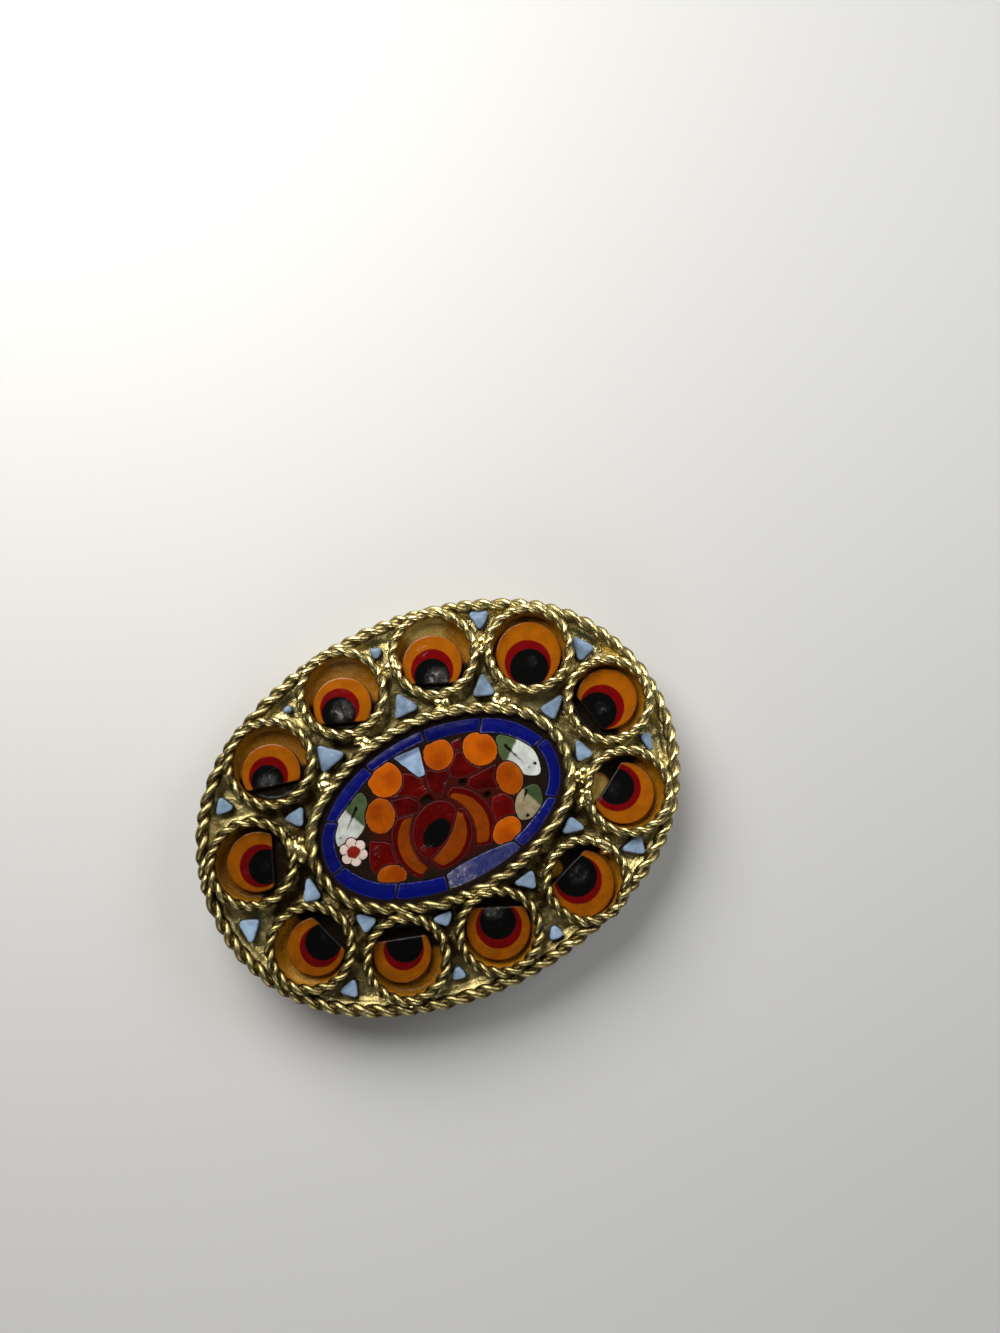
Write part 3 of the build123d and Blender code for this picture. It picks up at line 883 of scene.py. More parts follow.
def gilt_wear_and_shade_group():
    """Old gilding: brown lacquer and painted shade in the hollows, paler and brighter where rubbed, finely
    pitted.
    """
    if "Gilt Wear And Shade" in bpy.data.node_groups:
        return bpy.data.node_groups["Gilt Wear And Shade"]
    inputs = [
        ("Gilt", (0.8, 0.65, 0.3, 1)),
        ("Brown", (0.2, 0.12, 0.03, 1)),
        ("Hollow", 0.0),
        ("Tarnish", 0.3),
    ]
    group, given, out = new_group("Gilt Wear And Shade", inputs, SURFACE_OUTPUTS)
    place = in_millimetres(group)
    fine = noise_value(group, place, 0.16, 5, 0.65)
    grain = noise_value(group, place, 0.05, 3, 0.6)
    knocks = noise_value(group, place, 0.35, 2)

    # Brown stain patches, and brown in the hollows; painted shade adds to both towards the shaded side
    setup = {"operation": "DOT_PRODUCT"}
    shade_way = add_node(group, "ShaderNodeVectorMath", setup, _0=place, _1=(*SHADE_WAY, 0.0)).outputs["Value"]
    patches = noise_value(group, place, 1.7, 4)
    stains_and_shade = rise(group, plus(group, patches, rise(group, shade_way, -10.0, 12.0, -0.10, 0.26)), 0.42, 0.72)
    stained_and_shaded = times(group, stains_and_shade, given["Tarnish"])
    dirt_and_shade = times(group, given["Hollow"], rise(group, fine, 0.25, 0.6, 0.82, 1.0))
    dirt_and_shade = times(group, dirt_and_shade, rise(group, shade_way, -14.0, 6.0, 0.72, 1.0))
    brown_share = larger(group, dirt_and_shade, stained_and_shaded)

    colour = blend_colours(group, brown_share, given["Gilt"], given["Brown"])
    rubbed = rise(group, minus(group, fine, brown_share), 0.5, 0.75, 0.0, 0.15)
    group.links.new(blend_colours(group, rubbed, colour, RUBBED_GILT), out["Color"])
    rough = rise(group, brown_share, 0.0, 1.0, 0.17, 0.40)
    group.links.new(plus(group, rough, rise(group, grain, 0.3, 0.8, 0.0, 0.10)), out["Roughness"])
    height = plus(group, fine, times(group, grain, 0.35))
    group.links.new(plus(group, height, times(group, knocks, 2.0)), out["Height"])
    return group


def fine_scratches(group, place):
    """Thin lines of two stretched noises, in some places only."""
    lines = []
    for turn, offset in ((0.5, 0.0), (2.1, 40.0)):
        turned = add_node(
            group,
            "ShaderNodeMapping",
            Vector=place,
            Location=(offset, offset, 0),
            Rotation=(0, 0, turn),
            Scale=(0.30, 5.0, 1.0),
        ).outputs[0]
        line = noise_value(group, turned, 1.0, 1.0, 0.4, 0.3)
        away = arithmetic(group, "ABSOLUTE", minus(group, line, 0.63))
        lines.append(rise(group, away, 0.0, 0.012, 1.0, 0.0))
    return times(group, larger(group, *lines), rise(group, noise_value(group, place, 1.3, 2), 0.58, 0.70))


def glass_face_group():
    """Ground, opaque glass: cloudy, specked, scratched, scuffed with painted glints, with dirt and chips on
    its edge.
    """
    if "Glass Face" in bpy.data.node_groups:
        return bpy.data.node_groups["Glass Face"]
    inputs = [
        ("Glass", (0.5, 0.5, 0.5, 1)),
        ("Speck Tint", (0.4, 0.4, 0.4, 1)),
        ("Speck Share", 0.3),
        ("Mottle", 0.3),
        ("Edge", 1.0),
        ("Shade", 0.5),
        ("Scuff", 0.0),
        ("Lit Edge", 0.0),
        ("Scratches", 0.35),
        ("Base Roughness", 0.12),
    ]
    group, given, out = new_group("Glass Face", inputs, SURFACE_OUTPUTS)
    place = in_millimetres(group)

    # The glass itself, cloudy and specked, with a ragged line of dirt at its edge
    cloud = minus(group, rise(group, noise_value(group, place, 0.9, 3), 0.25, 0.75, 0.72, 1.28), 1.0)
    # Shade is each piece's own random tone; on the eyes it is painted shade, by where they lie
    shade = rise(group, given["Shade"], 0.0, 1.0, 0.74, 1.16)
    glass = scaled(group, given["Glass"], plus(group, times(group, cloud, given["Mottle"]), shade))
    speck = rise(group, noise_value(group, place, 0.11, 2), 0.62, 0.70)
    tinted = blend_colours(group, 1.0, glass, given["Speck Tint"], "MULTIPLY")
    colour = blend_colours(group, times(group, speck, given["Speck Share"]), glass, tinted)
    inside = minus(group, given["Edge"], times(group, noise_value(group, place, 0.15, 3), 0.06))
    colour = blend_colours(group, rise(group, inside, -0.04, 0.02, 0.8, 0.0), colour, EDGE_DIRT)

    # Pale scratches, scuffs with painted silvery glints, and a painted highlight along the edge
    scratch = times(group, fine_scratches(group, place), given["Scratches"])
    haze = rise(group, noise_value(group, place, 0.6, 4, 0.65, 0.3), 0.35, 0.65, 0.05, 0.45)
    glint = rise(group, noise_value(group, place, 0.36, 3, 0.5, 0.3), 0.56, 0.66)
    scuff = times(group, plus(group, haze, glint), given["Scuff"])
    rim = times(group, rise(group, inside, 0.0, 0.03), rise(group, given["Edge"], 0.08, 0.14, 1.0, 0.0))
    rim = times(group, rim, rise(group, noise_value(group, place, 0.3, 3), 0.40, 0.58))
    rim = times(group, rim, given["Lit Edge"])
    marks_and_glints = larger(group, scratch, times(group, scuff, 0.35))
    marks_and_glints = larger(group, marks_and_glints, times(group, rim, 0.8))
    group.links.new(blend_colours(group, marks_and_glints, colour, SCRATCH_AND_GLINT_GREY), out["Color"])

    rough = plus(group, given["Base Roughness"], times(group, marks_and_glints, 0.3))
    smear = rise(group, noise_value(group, place, 0.6, 3), 0.3, 0.8, 0.0, 0.08)
    worn_edge = rise(group, given["Edge"], 0.0, 0.12, 0.9, 0.0)
    group.links.new(plus(group, rough, plus(group, smear, worn_edge)), out["Roughness"])
    dents = noise_value(group, place, 0.3, 3)
    group.links.new(minus(group, dents, times(group, marks_and_glints, 0.4)), out["Height"])
    return group


def glass_layer_group():
    """The share of an inner layer of glass, from the distance to its edge, with a soft, unsteady border."""
    if "Glass Layer" in bpy.data.node_groups:
        return bpy.data.node_groups["Glass Layer"]
    inputs = [("Distance", 1.0), ("Softness", 0.03), ("Waver", 0.05)]
    group, given, out = new_group("Glass Layer", inputs, [("Share", "Float")])
    stray = minus(group, noise_value(group, in_millimetres(group), 0.35, 3), 0.5)
    distance = plus(group, given["Distance"], times(group, stray, given["Waver"]))
    share = arithmetic(group, "DIVIDE", distance, given["Softness"])
    group.links.new(rise(group, share, -1.0, 1.0, 1.0, 0.0), out["Share"])
    return group


def place_group(tree, group, **inputs):
    """Put a node group into a material."""
    return add_node(tree, "ShaderNodeGroup", {"node_tree": group}, **inputs).outputs


def new_material(name):
    """An empty material and its node tree."""
    material = bpy.data.materials.new(name)
    material.use_nodes = True
    material.node_tree.nodes.clear()
    return material, material.node_tree


def add_shader(tree, **inputs):
    """Finish a material with its shader, given its inputs' values or links."""
    shader = add_node(tree, "ShaderNodeBsdfPrincipled", **inputs)
    add_node(tree, "ShaderNodeOutputMaterial", Surface=shader.outputs[0])


def bumped(tree, height, strength, distance):
    """A normal from a height; distance is in millimetres."""
    node = add_node(tree, "ShaderNodeBump", Height=height, Strength=strength, Distance=distance * MILLIMETRE)
    return node.outputs[0]


def gilt_material(name, tarnish, bump, brown=None):
    """Gilding on the meshes made here; their layers give brown lacquer with painted shade, and amber with
    painted reflection.
    """
    if name in bpy.data.materials:
        return bpy.data.materials[name]
    colours = bpy.context.scene.brooch_colours
    material, tree = new_material(name)
    wear = place_group(
        tree,
        gilt_wear_and_shade_group(),
        Gilt=colours.gilt,
        Brown=brown or colours.gilt_brown,
        Hollow=painted(tree, "hollow"),
        Tarnish=tarnish,
    )
    # Amber on the rings' inner walls: lacquer, and a painted reflection of the orange eyes
    amber = painted(tree, "amber")
    add_shader(
        tree,
        Base_Color=blend_colours(tree, amber, wear["Color"], colours.amber),
        Roughness=wear["Roughness"],
        Metallic=rise(tree, amber, 0.0, 1.0, 1.0, 0.2),
        Normal=bumped(tree, wear["Height"], bump, 0.03),
    )
    return material


def back_material():
    """Gilding on the plain pin, drawn out in streaks along it."""
    if "Gilt Back" in bpy.data.materials:
        return bpy.data.materials["Gilt Back"]
    colours = bpy.context.scene.brooch_colours
    material, tree = new_material("Gilt Back")
    place = in_millimetres(tree)
    drawn = add_node(tree, "ShaderNodeMapping", Vector=place, Scale=(0.2, 1.0, 1.0)).outputs[0]
    streaks = noise_value(tree, drawn, 0.12, 4)
    wear = place_group(
        tree,
        gilt_wear_and_shade_group(),
        Gilt=colours.gilt,
        Brown=colours.gilt_brown,
        Hollow=rise(tree, streaks, 0.55, 0.9, 0.0, 0.5),
        Tarnish=0.55,
    )
    add_shader(
        tree,
        Base_Color=wear["Color"],
        Roughness=wear["Roughness"],
        Metallic=1.0,
        Normal=bumped(tree, plus(tree, wear["Height"], streaks), 0.4, 0.02),
    )
    return material


def glass_material(
    name,
    body,
    layers=(),
    speck_tint=(0.4, 0.4, 0.4, 1),
    speck_share=0.3,
    mottle=0.5,
    roughness=0.12,
    scratches=0.35,
):
    """Opaque glass. layers lists (painted layer, colour, softness, waver), from the outside in."""
    if name in bpy.data.materials:
        return bpy.data.materials[name]
    material, tree = new_material(name)
    colour = tuple(body)
    for layer, layer_colour, softness, waver in layers:
        distance = painted(tree, layer)
        group = glass_layer_group()
        share = place_group(tree, group, Distance=distance, Softness=softness, Waver=waver)["Share"]
        colour = blend_colours(tree, share, colour, tuple(layer_colour))
    face = place_group(
        tree,
        glass_face_group(),
        Glass=colour,
        Speck_Tint=speck_tint,
        Speck_Share=speck_share,
        Mottle=mottle,
        Edge=painted(tree, "edge"),
        Shade=painted(tree, "shade"),
        Scuff=painted(tree, "scuff"),
        Lit_Edge=painted(tree, "lit"),
        Scratches=scratches,
        Base_Roughness=roughness,
    )
    add_shader(
        tree,
        Base_Color=face["Color"],
        Roughness=face["Roughness"],
        IOR=1.52,
        Specular_IOR_Level=0.3,
        Normal=bumped(tree, face["Height"], 0.2, 0.03),
    )
    return material


def cement_material(name, dark, pale, smoothest=0.22, gloss=1.22):
    """Mosaic cement, smooth and dark with old lacquer, and dull where the layer pale is high.

    Where pale is below 0 it is painted black as shade. smoothest is its least roughness, and gloss its index
    of refraction.
    """
    if name in bpy.data.materials:
        return bpy.data.materials[name]
    material, tree = new_material(name)
    place = in_millimetres(tree)
    grains = noise_value(tree, place, 0.12, 4, 0.65)
    patches = noise_value(tree, place, 0.8, 4)
    share = times(tree, painted(tree, "pale"), rise(tree, patches, 0.25, 0.6, 0.5, 1.0))
    colour = blend_colours(tree, share, tuple(dark), tuple(pale))
    shade_black = rise(tree, painted(tree, "pale"), -1.0, 0.0, 1.0, 0.0)
    colour = blend_colours(tree, shade_black, colour, SHADE_BLACK_CEMENT)
    colour = blend_colours(tree, rise(tree, grains, 0.35, 0.65, 0.45, 0.0), colour, CEMENT_GRAINS)
    add_shader(
        tree,
        Base_Color=colour,
        Roughness=rise(tree, share, 0.0, 1.0, smoothest, max(0.6, smoothest)),
        IOR=gloss,
        Normal=bumped(tree, grains, 0.5, 0.05),
    )
    return material


# Pieces


def outside_rings(points, margin):
    """How far points lie outside the nearest ring's middle line, less a margin."""
    away = [distances(points, middle) - radius for middle, radius in RINGS.values()]
    return np.min(away, axis=0) - margin


def wire_material():
    """The gilding of the wires and the strips."""
    return gilt_material("Gilt Wire", 0.6, 0.6)


def finish_metal(form, name, material):
    """Make a piece of the soldered setting."""
    form.finish(name, material, "gilt_brass", "setting")


def plate_edge(count):
    """The plate's edge, pushed out where a ring reaches past it, and outward."""
    edge, outward = brooch_line(count, PLATE_MARGIN)
    for middle, radius in RINGS.values():
        reach = radius + STRIP_THICKNESS / 2
        offset = edge - middle
        near = np.linalg.norm(offset, axis=1) < reach
        along = (offset * outward).sum(1)
        beyond = -along + np.sqrt(np.maximum(along**2 - (offset**2).sum(1) + reach**2, 0))
        edge = edge + outward * np.where(near, beyond, 0)[:, None]
    return edge, outward


def plate_top(rows, edge, inner):
    """The height of each point of the plate's top, and how much brown lacquer and painted shade lie there.
    """
    flat = rows.reshape(-1, 2)
    plain_edge, _ = brooch_line(len(edge))
    from_border, from_edge, from_centre = (
        np.linalg.norm(rows - line[None], axis=2).reshape(-1) for line in (plain_edge, edge, inner)
    )
    outside = outside_rings(flat, STRIP_THICKNESS / 2)
    bumps = lumps(as_3d(flat, 0), 0.55, 3)
    rim_end = RIM_WIDTH + PLATE_MARGIN
    rim = (1 - smooth(from_border, rim_end, rim_end + 0.5)) * smooth(outside, -0.05, 0.15)
    fillet = np.exp(-np.maximum(outside, 0) / FILLET_REACH) * smooth(outside, -0.2, 0.0)
    fillet = np.maximum(fillet, np.exp(-np.maximum(from_centre - 0.2, 0) / FILLET_REACH))
    open_floor = smooth(outside, -0.15, -0.05) * smooth(from_centre, 0.05, 0.15)
    lean = np.clip(1 - from_edge / EDGE_ROUNDING, 0, 1)
    height = PLATE_TOP + RIM_HEIGHT * rim - EDGE_ROUNDING * (1 - np.sqrt(1 - lean**2))
    height += open_floor * (FILLET_HEIGHT * fillet * (1 + 0.5 * bumps) + FLOOR_WAVES * bumps)
    # Painted shade: the floor is browner between the rings and the centre rope
    between = smooth(from_border - from_centre, -2.5, 0.5)
    hollow = np.maximum(0.45 + 0.6 * between - 0.25 * fillet + 0.3 * bumps, 0)
    return height, hollow * smooth(from_border, 0.4, 1.2)


class BROOCH_OT_plate(Operator):
    """Build the back plate with its rim and solder-filled floor"""

    bl_idname = "brooch.plate"
    bl_label = "Plate"

    def execute(self, context):
        count = 1080
        edge, outward = plate_edge(count)
        inner, _ = centre_line(count)
        shares = np.linspace(0, 1, 44) ** 0.9
        rows = inner[None] + (edge - inner)[None] * shares[:, None, None]
        height, hollow = plate_top(rows, edge, inner)
        # Below the top, three rows of points round the lower edge: how far in they lie, and how high
        lower_edge = ((0.0, 0.14), (0.05, 0.03), (0.16, 0.0))
        lower = [as_3d(edge - outward * inset, BRASS_BACK + level) for inset, level in lower_edge]
        form = Form()
        form.add(
            np.vstack([as_3d(rows.reshape(-1, 2), height), *lower]),
            stacked_faces(len(rows) + len(lower), count),
            hollow=np.concatenate([hollow, np.zeros(count * len(lower))]),
            amber=0.0,
        )
        finish_metal(form, "plate", gilt_material("Gilt Floor", 0.6, 1.0, FLOOR_BROWN))
        return {"FINISHED"}


class BROOCH_OT_walls(Operator):
    """Build the round strips of the rings and the oval strip of the centre"""

    bl_idname = "brooch.walls"
    bl_label = "Walls"

    def execute(self, context):
        form = Form()
        for seed, (middle, radius) in enumerate(RINGS.values()):
            line, outward = circle_line(middle, radius, 120)
            wall(form, line, outward, RING_WIRE_Z, seed, 1.0)
        finish_metal(form, "ring_strips", wire_material())
        form = Form()
        line, outward = centre_line(300)
        wall(form, line, outward, CENTRE_WIRE_Z, 20, 0.0)
        finish_metal(form, "centre_strip", wire_material())
        return {"FINISHED"}


def near_lumps(line):
    """How much solder lies on a line of points, from 0 to 1."""
    away = np.min([distances(line, place) for place in SOLDER_LUMPS], axis=0)
    return 1 - smooth(away, LUMP_REACH * 0.4, LUMP_REACH)


def contact_solder(name, line):
    """How much solder fills a ring's rope where it meets the other wires."""
    filled = near_lumps(line)
    for other, (middle, radius) in RINGS.items():
        if other != name:
            gap = np.abs(distances(line, middle) - radius)
            filled = np.maximum(filled, 0.8 * (1 - smooth(gap, 0.15, 0.55)))
    return filled


class BROOCH_OT_ring_ropes(Operator):
    """Build the rope on the edge of each ring"""

    bl_idname = "brooch.ring_ropes"
    bl_label = "Ring Ropes"

    def execute(self, context):
        lobes = context.scene.brooch_sizes.ring_lobes
        for place, (name, (middle, radius)) in enumerate(RINGS.items()):
            form = Form()
            line, outward = circle_line(middle, radius, lobes * SAMPLES_PER_LOBE)
            solder = contact_solder(name, line)
            rope(form, line, outward, RING_WIRE_Z, RING_WIRE, lobes, place * 1.7, solder)
            finish_metal(form, "ring_rope_" + name, wire_material())
        return {"FINISHED"}


class BROOCH_OT_centre_rope(Operator):
    """Build the rope round the field of glass"""

    bl_idname = "brooch.centre_rope"
    bl_label = "Centre Rope"

    def execute(self, context):
        lobes = context.scene.brooch_sizes.centre_lobes
        line, outward = centre_line(lobes * SAMPLES_PER_LOBE)
        offset = line - FIELD_MIDDLE
        turn = np.degrees(np.arctan2(offset[:, 1], offset[:, 0]))
        worn_left_end = smooth(turn, 140, 152) * (1 - smooth(turn, 164, 174))
        solder = np.maximum(near_lumps(line), 0.45 * worn_left_end)
        form = Form()
        rope(form, line, outward, CENTRE_WIRE_Z, CENTRE_WIRE, lobes, 31.0, solder)
        finish_metal(form, "centre_rope", wire_material())
        return {"FINISHED"}


def pushed_out(points):
    """Points moved sideways to the middle line of a ring that they lie inside."""
    for middle, radius in RINGS.values():
        offset = points[:, :2] - middle
        away = np.linalg.norm(offset, axis=1)
        reach = np.where(away < radius, radius / np.maximum(away, 0.01), 1.0)
        points = np.column_stack([middle + offset * reach[:, None], points[:, 2]])
    return points


class BROOCH_OT_border_rope(Operator):
    """Build the border rope, which each ring cuts into"""

    bl_idname = "brooch.border_rope"
    bl_label = "Border Rope"

    def execute(self, context):
        lobes = context.scene.brooch_sizes.border_lobes
        line, outward = brooch_line(lobes * SAMPLES_PER_LOBE, BORDER_WIRE / 2)
        form = Form()
        rope(form, line, outward, BORDER_WIRE_Z, BORDER_WIRE, lobes, 40.0, near_lumps(line))
        form.points = [pushed_out(points) for points in form.points]
        finish_metal(form, "border_rope", wire_material())
        return {"FINISHED"}


def blob(form, middle, radii, turn, seed):
    """A lump of solder: an uneven ball, drawn out and turned."""
    rows, sides = 10, 18
    tilt = np.linspace(0, pi, rows + 2)[1:-1]
    around = np.arange(sides) * TURN / sides
    ball = np.array([(sin(t) * cos(a), sin(t) * sin(a), cos(t)) for t in tilt for a in around])
    ball = np.vstack([ball, [(0, 0, 1), (0, 0, -1)]])
    ball = ball * (1 + 0.22 * lumps(ball, 0.9, seed))[:, None] * np.array(radii)
    x, y, z = ball.T
    turned = np.column_stack([x * cos(turn) - y * sin(turn), x * sin(turn) + y * cos(turn), z])
    faces = turned_over(rows_to_faces(rows, sides, False))
    last = (rows - 1) * sides
    for side in range(sides):
        beyond = (side + 1) % sides
        faces.append((side, beyond, rows * sides))
        faces.append((last + beyond, last + side, rows * sides + 1))
    points = turned + np.array(middle)
    points[:, 2] = np.minimum(points[:, 2], SETTING_HIGH[2] - 0.03)
    # Painted shade: brown on the lump's lower half
    form.add(points, faces, hollow=smooth(-z, -0.05, 0.35), amber=0.0)


def ring_joints():
    """The lumps that join neighbouring rings: the middle, the radii and the turn of each."""
    found = []
    for (middle, radius), (other, other_radius) in combinations(RINGS.values(), 2):
        across = other - middle
        distance = np.linalg.norm(across)
        gap = distance - radius - other_radius
        if gap <= RING_JOINT_GAP:
            place = middle + across / distance * (radius + gap / 2)
            turn = atan2(across[1], across[0]) + pi / 2
            for step in RING_JOINT_STEPS:
                spot = place + step * pointing(turn)
                found.append(((*spot, RING_WIRE_Z - RING_JOINT_DROP), RING_JOINT_RADII, turn))
    return found


def rope_joints(line, level, reach):
    """The lumps that join the rings to the rope inside them or round them."""
    found = []
    for middle, radius in RINGS.values():
        away = distances(line, middle) - radius
        nearest = int(np.argmin(np.abs(away)))
        if abs(away[nearest]) < reach:
            towards = unit(middle - line[nearest])
            spot = line[nearest] + towards * min(0.4, abs(away[nearest]) / 2)
            turn = atan2(towards[1], towards[0]) + pi / 2
            found.append(((*spot, level - ROPE_JOINT_DROP), ROPE_JOINT_RADII, turn))
    return found


def spilt_lumps(first_seed):
    """Three lumps at each place where solder has run onto the wires."""
    found = []
    for x, y in SOLDER_LUMPS:
        for step in range(3):
            seed = first_seed + len(found)
            away = 0.62 * (0.4 + 0.1 * step) * pointing(seed * 2.4)
            size = 0.34 + 0.06 * sin(seed * 1.7)
            spot = (x + away[0], y + away[1], CENTRE_WIRE_Z - 0.02 + 0.08 * sin(seed * 0.9))
            found.append((spot, (size * 1.4, size, size * 0.85), seed))
    return found


class BROOCH_OT_solder(Operator):
    """Fill the joints between the wires with solder"""

    bl_idname = "brooch.solder"
    bl_label = "Solder"

    def execute(self, context):
        x, y, long_radius, short_radius, height, level, turn = SOLDER_POOL
        found = [
            *ring_joints(),
            *rope_joints(centre_line(720)[0], CENTRE_WIRE_Z, CENTRE_JOINT_REACH),
            *rope_joints(brooch_line(720, BORDER_WIRE / 2)[0], BORDER_WIRE_Z, BORDER_JOINT_REACH),
            ((x, y, CENTRE_WIRE_Z + level), (long_radius, short_radius, height), radians(turn)),
        ]
        found += spilt_lumps(FIRST_SOLDER_SEED + len(found))
        form = Form()
        for seed, (middle, radii, turn) in enumerate(found, FIRST_SOLDER_SEED):
            blob(form, middle, radii, turn, seed)
        finish_metal(form, "solder", gilt_material("Gilt Solder", 0.35, 0.5))
        return {"FINISHED"}


def ring_bed(form, name, seed):
    """The cement in one ring, which creeps up the strip, is heaped where it's pale and painted black as
    shade past the cut.
    """
    low, high = node_box("ring_cement")
    middle, radius = RINGS[name]
    reach = radius - WALL_TO_CEMENT
    count = 96
    rows = [circle_line(middle, max(step, 0.02) * reach, count)[0] for step in RING_BED_STEPS]
    flat = np.concatenate(rows)
    share = np.repeat(RING_BED_STEPS, count)
    pale_x, pale_y, size, strength = PALE_CEMENT[name]
    away = distances(flat, middle + np.array([pale_x, pale_y]))
    pale = strength * (1 - smooth(away, size * 0.5, size * 1.3))
    beside_eye = smooth(share, 0.5, 0.7)
    creep = CEMENT_CREEP * smooth(share, 0.84, 1.0) ** 1.6
    heap = CEMENT_HEAP * np.clip(pale, 0, 1) * beside_eye
    bumps = CEMENT_BUMPS * lumps(as_3d(flat, 0), 0.5, seed) * beside_eye
    foot, _ = circle_line(middle, reach, count)
    points = np.vstack([as_3d(flat, high[2] - 0.02 + creep + heap + bumps), as_3d(foot, low[2])])

    pale = np.clip(pale - 0.5 * smooth(share, 0.93, 1.0), 0, 1)
    # Painted shade: the cement past the cut turns black
    past_cut = smooth((flat - middle) @ pointing(radians(CUT_TURNS[name])), 0.2, 1.0)
    pale -= 1.2 * past_cut * (1 - smooth(pale, 0.05, 0.4)) * (1 - smooth(share, 0.9, 1.0))
    # Painted shade: darker cement in some rings
    pale -= SHADED_CEMENT.get(name, 0.0) * (1 - smooth(share, 0.95, 1.0))
    form.add(points, stacked_faces(len(rows) + 1, count), pale=np.concatenate([pale, np.zeros(count)]))


class BROOCH_OT_cement(Operator):
    """Build the cement in the rings and under the flowers"""

    bl_idname = "brooch.cement"
    bl_label = "Cement"

    def execute(self, context):
        colours = context.scene.brooch_colours
        form = Form()
        for seed, name in enumerate(RINGS):
            ring_bed(form, name, seed)
        material = cement_material("Ring Cement", LACQUERED_CEMENT, colours.cement)
        form.finish("ring_bed", material, "cement", "ring_cement")

        form = Form()
        low, high = node_box("centre_cement")
        outline = evenly(top_outline(*loose_parts("centre_cement")[0]), 0.3)
        points, faces, _ = pillow(outline, low[2], high[2], 0.05, 0.3, 0.0, 0.04, 7)
        form.add(points, faces, pale=0.0)
        material = cement_material("Field Cement", colours.dark_cement, colours.dark_cement)
        form.finish("field_bed", material, "dark_cement", "centre_cement")
        return {"FINISHED"}


def under_glass(flat):
    """How far inside the nearest piece of the field's glass points lie, and how high that glass reaches."""
    starts = ("band_tile", "bud", "rose", "red_petals", "leaf", "white_flower", "sky_tile")
    depth = np.full(len(flat), -1.0)
    top = 0
    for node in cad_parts:
        if node.startswith(starts):
            for corners, triangles in loose_parts(node):
                top = max(top, corners[np.unique(triangles)][:, 2].max())
                outline = evenly(top_outline(corners, triangles), 0.15)
                depth = np.maximum(depth, distance_to(outline, flat))
    return depth, top


class BROOCH_OT_filler(Operator):
    """Fill the gaps between the pieces of the field with cement"""

    bl_idname = "brooch.filler"
    bl_label = "Filler"

    def execute(self, context):
        count = 400
        edge, _ = centre_line(count, WALL_TO_CEMENT)
        steps = np.linspace(1, 0.01, 60)
        flat = (FIELD_MIDDLE + (edge - FIELD_MIDDLE)[None] * steps[:, None, None]).reshape(-1, 2)
        depth, glass_top = under_glass(flat)
        height = glass_top - FILLER_DROP + 0.02 * lumps(as_3d(flat, 0), 0.5, 9)
        x_share, y_share = ((flat - FIELD_MIDDLE) / FIELD_HALF / RED_FILLER_HALF).T
        red = 1 - smooth(np.hypot(x_share, y_share), 0.75, 1.0)
        for x, y, radius in FIELD_HOLES:
            hole = 1 - smooth(distances(flat, in_field(x, y)), radius * 0.7, radius * 1.1)
            height -= HOLE_DEPTH * hole
            red = red * (1 - hole)
        height = np.where(depth > 0.08, FIELD_HIGH[2] + 0.01, height)
        form = Form()
        faces = rows_to_faces(len(steps), count, False)
        faces.append(tuple(range((len(steps) - 1) * count, len(steps) * count)))
        form.add(as_3d(flat, height), faces, pale=red)
        colours = context.scene.brooch_colours
        material = cement_material("Field Filler", colours.dark_cement, FILLER_RED, 0.75, 1.12)
        form.finish("field_filler", material, "dark_cement", "centre_cement")
        return {"FINISHED"}


def make_glass(
    node,
    material,
    slot,
    layers_of=None,
    name=None,
    crown=0.03,
    unevenness=0.025,
    wear=3,
    round_by=1.0,
    grow=0.0,
    chipping=0.06,
):
    """Ground pieces of glass in the place of a CAD node, one for each of its solids, each a little askew.

    layers_of gives the painted layers at a piece's points. crown is how far the middle stands above the
    edge, wear how many times the corners are worn down, round_by how much rounder than usual the upper
    edge is, grow how much larger than in the CAD the piece is, and chipping how deep its chips are.
    """
    sizes = bpy.context.scene.brooch_sizes
    spacing = sizes.glass_spacing / MILLIMETRE
    rounding = sizes.glass_rounding / MILLIMETRE * round_by
    form = Form()
    for index, (corners, triangles) in enumerate(loose_parts(node)):
        heights = corners[np.unique(triangles)][:, 2]
        low, high = heights.min(), heights.max()
        outline = softened(evenly(top_outline(corners, triangles), spacing * 0.85), wear)
        seed = sum(map(ord, node)) % 97 + index * 1.3
        chips = np.maximum(lumps(as_3d(outline, 0), 0.35, seed), 0) * chipping
        outline = outline + inward_of(outline) * (chips - grow)[:, None]
        points, faces, edge = pillow(outline, low, high, rounding, spacing, crown, unevenness, seed)
        lean = pointing(seed * 2.4) * LARGEST_LEAN * sin(seed * 1.9)
        raised = smooth(points[:, 2], low + 0.1, low + 0.3)
        points[:, 2] += (points[:, :2] - outline.mean(0)) @ lean * raised
        layers = layers_of(points[:, :2]) if layers_of else {}
        form.add(points, faces, **{"edge": edge, "shade": seed * 0.377 % 1, **layers})
    form.finish(name or node + "_glass", material, slot, node)


def eye_layers(name, flat):
    """How far points on an eye lie outside its red and its black, how scuffed and glinting, and its painted
    shade.
    """
    middle = RINGS[name][0]
    red_x, red_y, red_radius, black_x, black_y, black_radius = EYE_LAYERS[name]
    scuff_x, scuff_y, size, strength = EYE_SCUFFS_AND_GLINTS[name]
    from_ring = flat - middle
    black = distances(from_ring, (black_x, black_y)) - black_radius
    scuff = strength * (1 - smooth(distances(from_ring, (scuff_x, scuff_y)), size * 0.3, size * 1.3))
    return {
        "red_edge": distances(from_ring, (red_x, red_y)) - red_radius,
        "black_edge": black,
        "scuff": scuff * (1 - smooth(black, -0.1, 0.2)),
        # Painted shade: the eyes are darker towards the shaded side of the brooch
        "shade": smooth(-(middle @ np.array(SHADE_WAY)), -14, 10),
    }


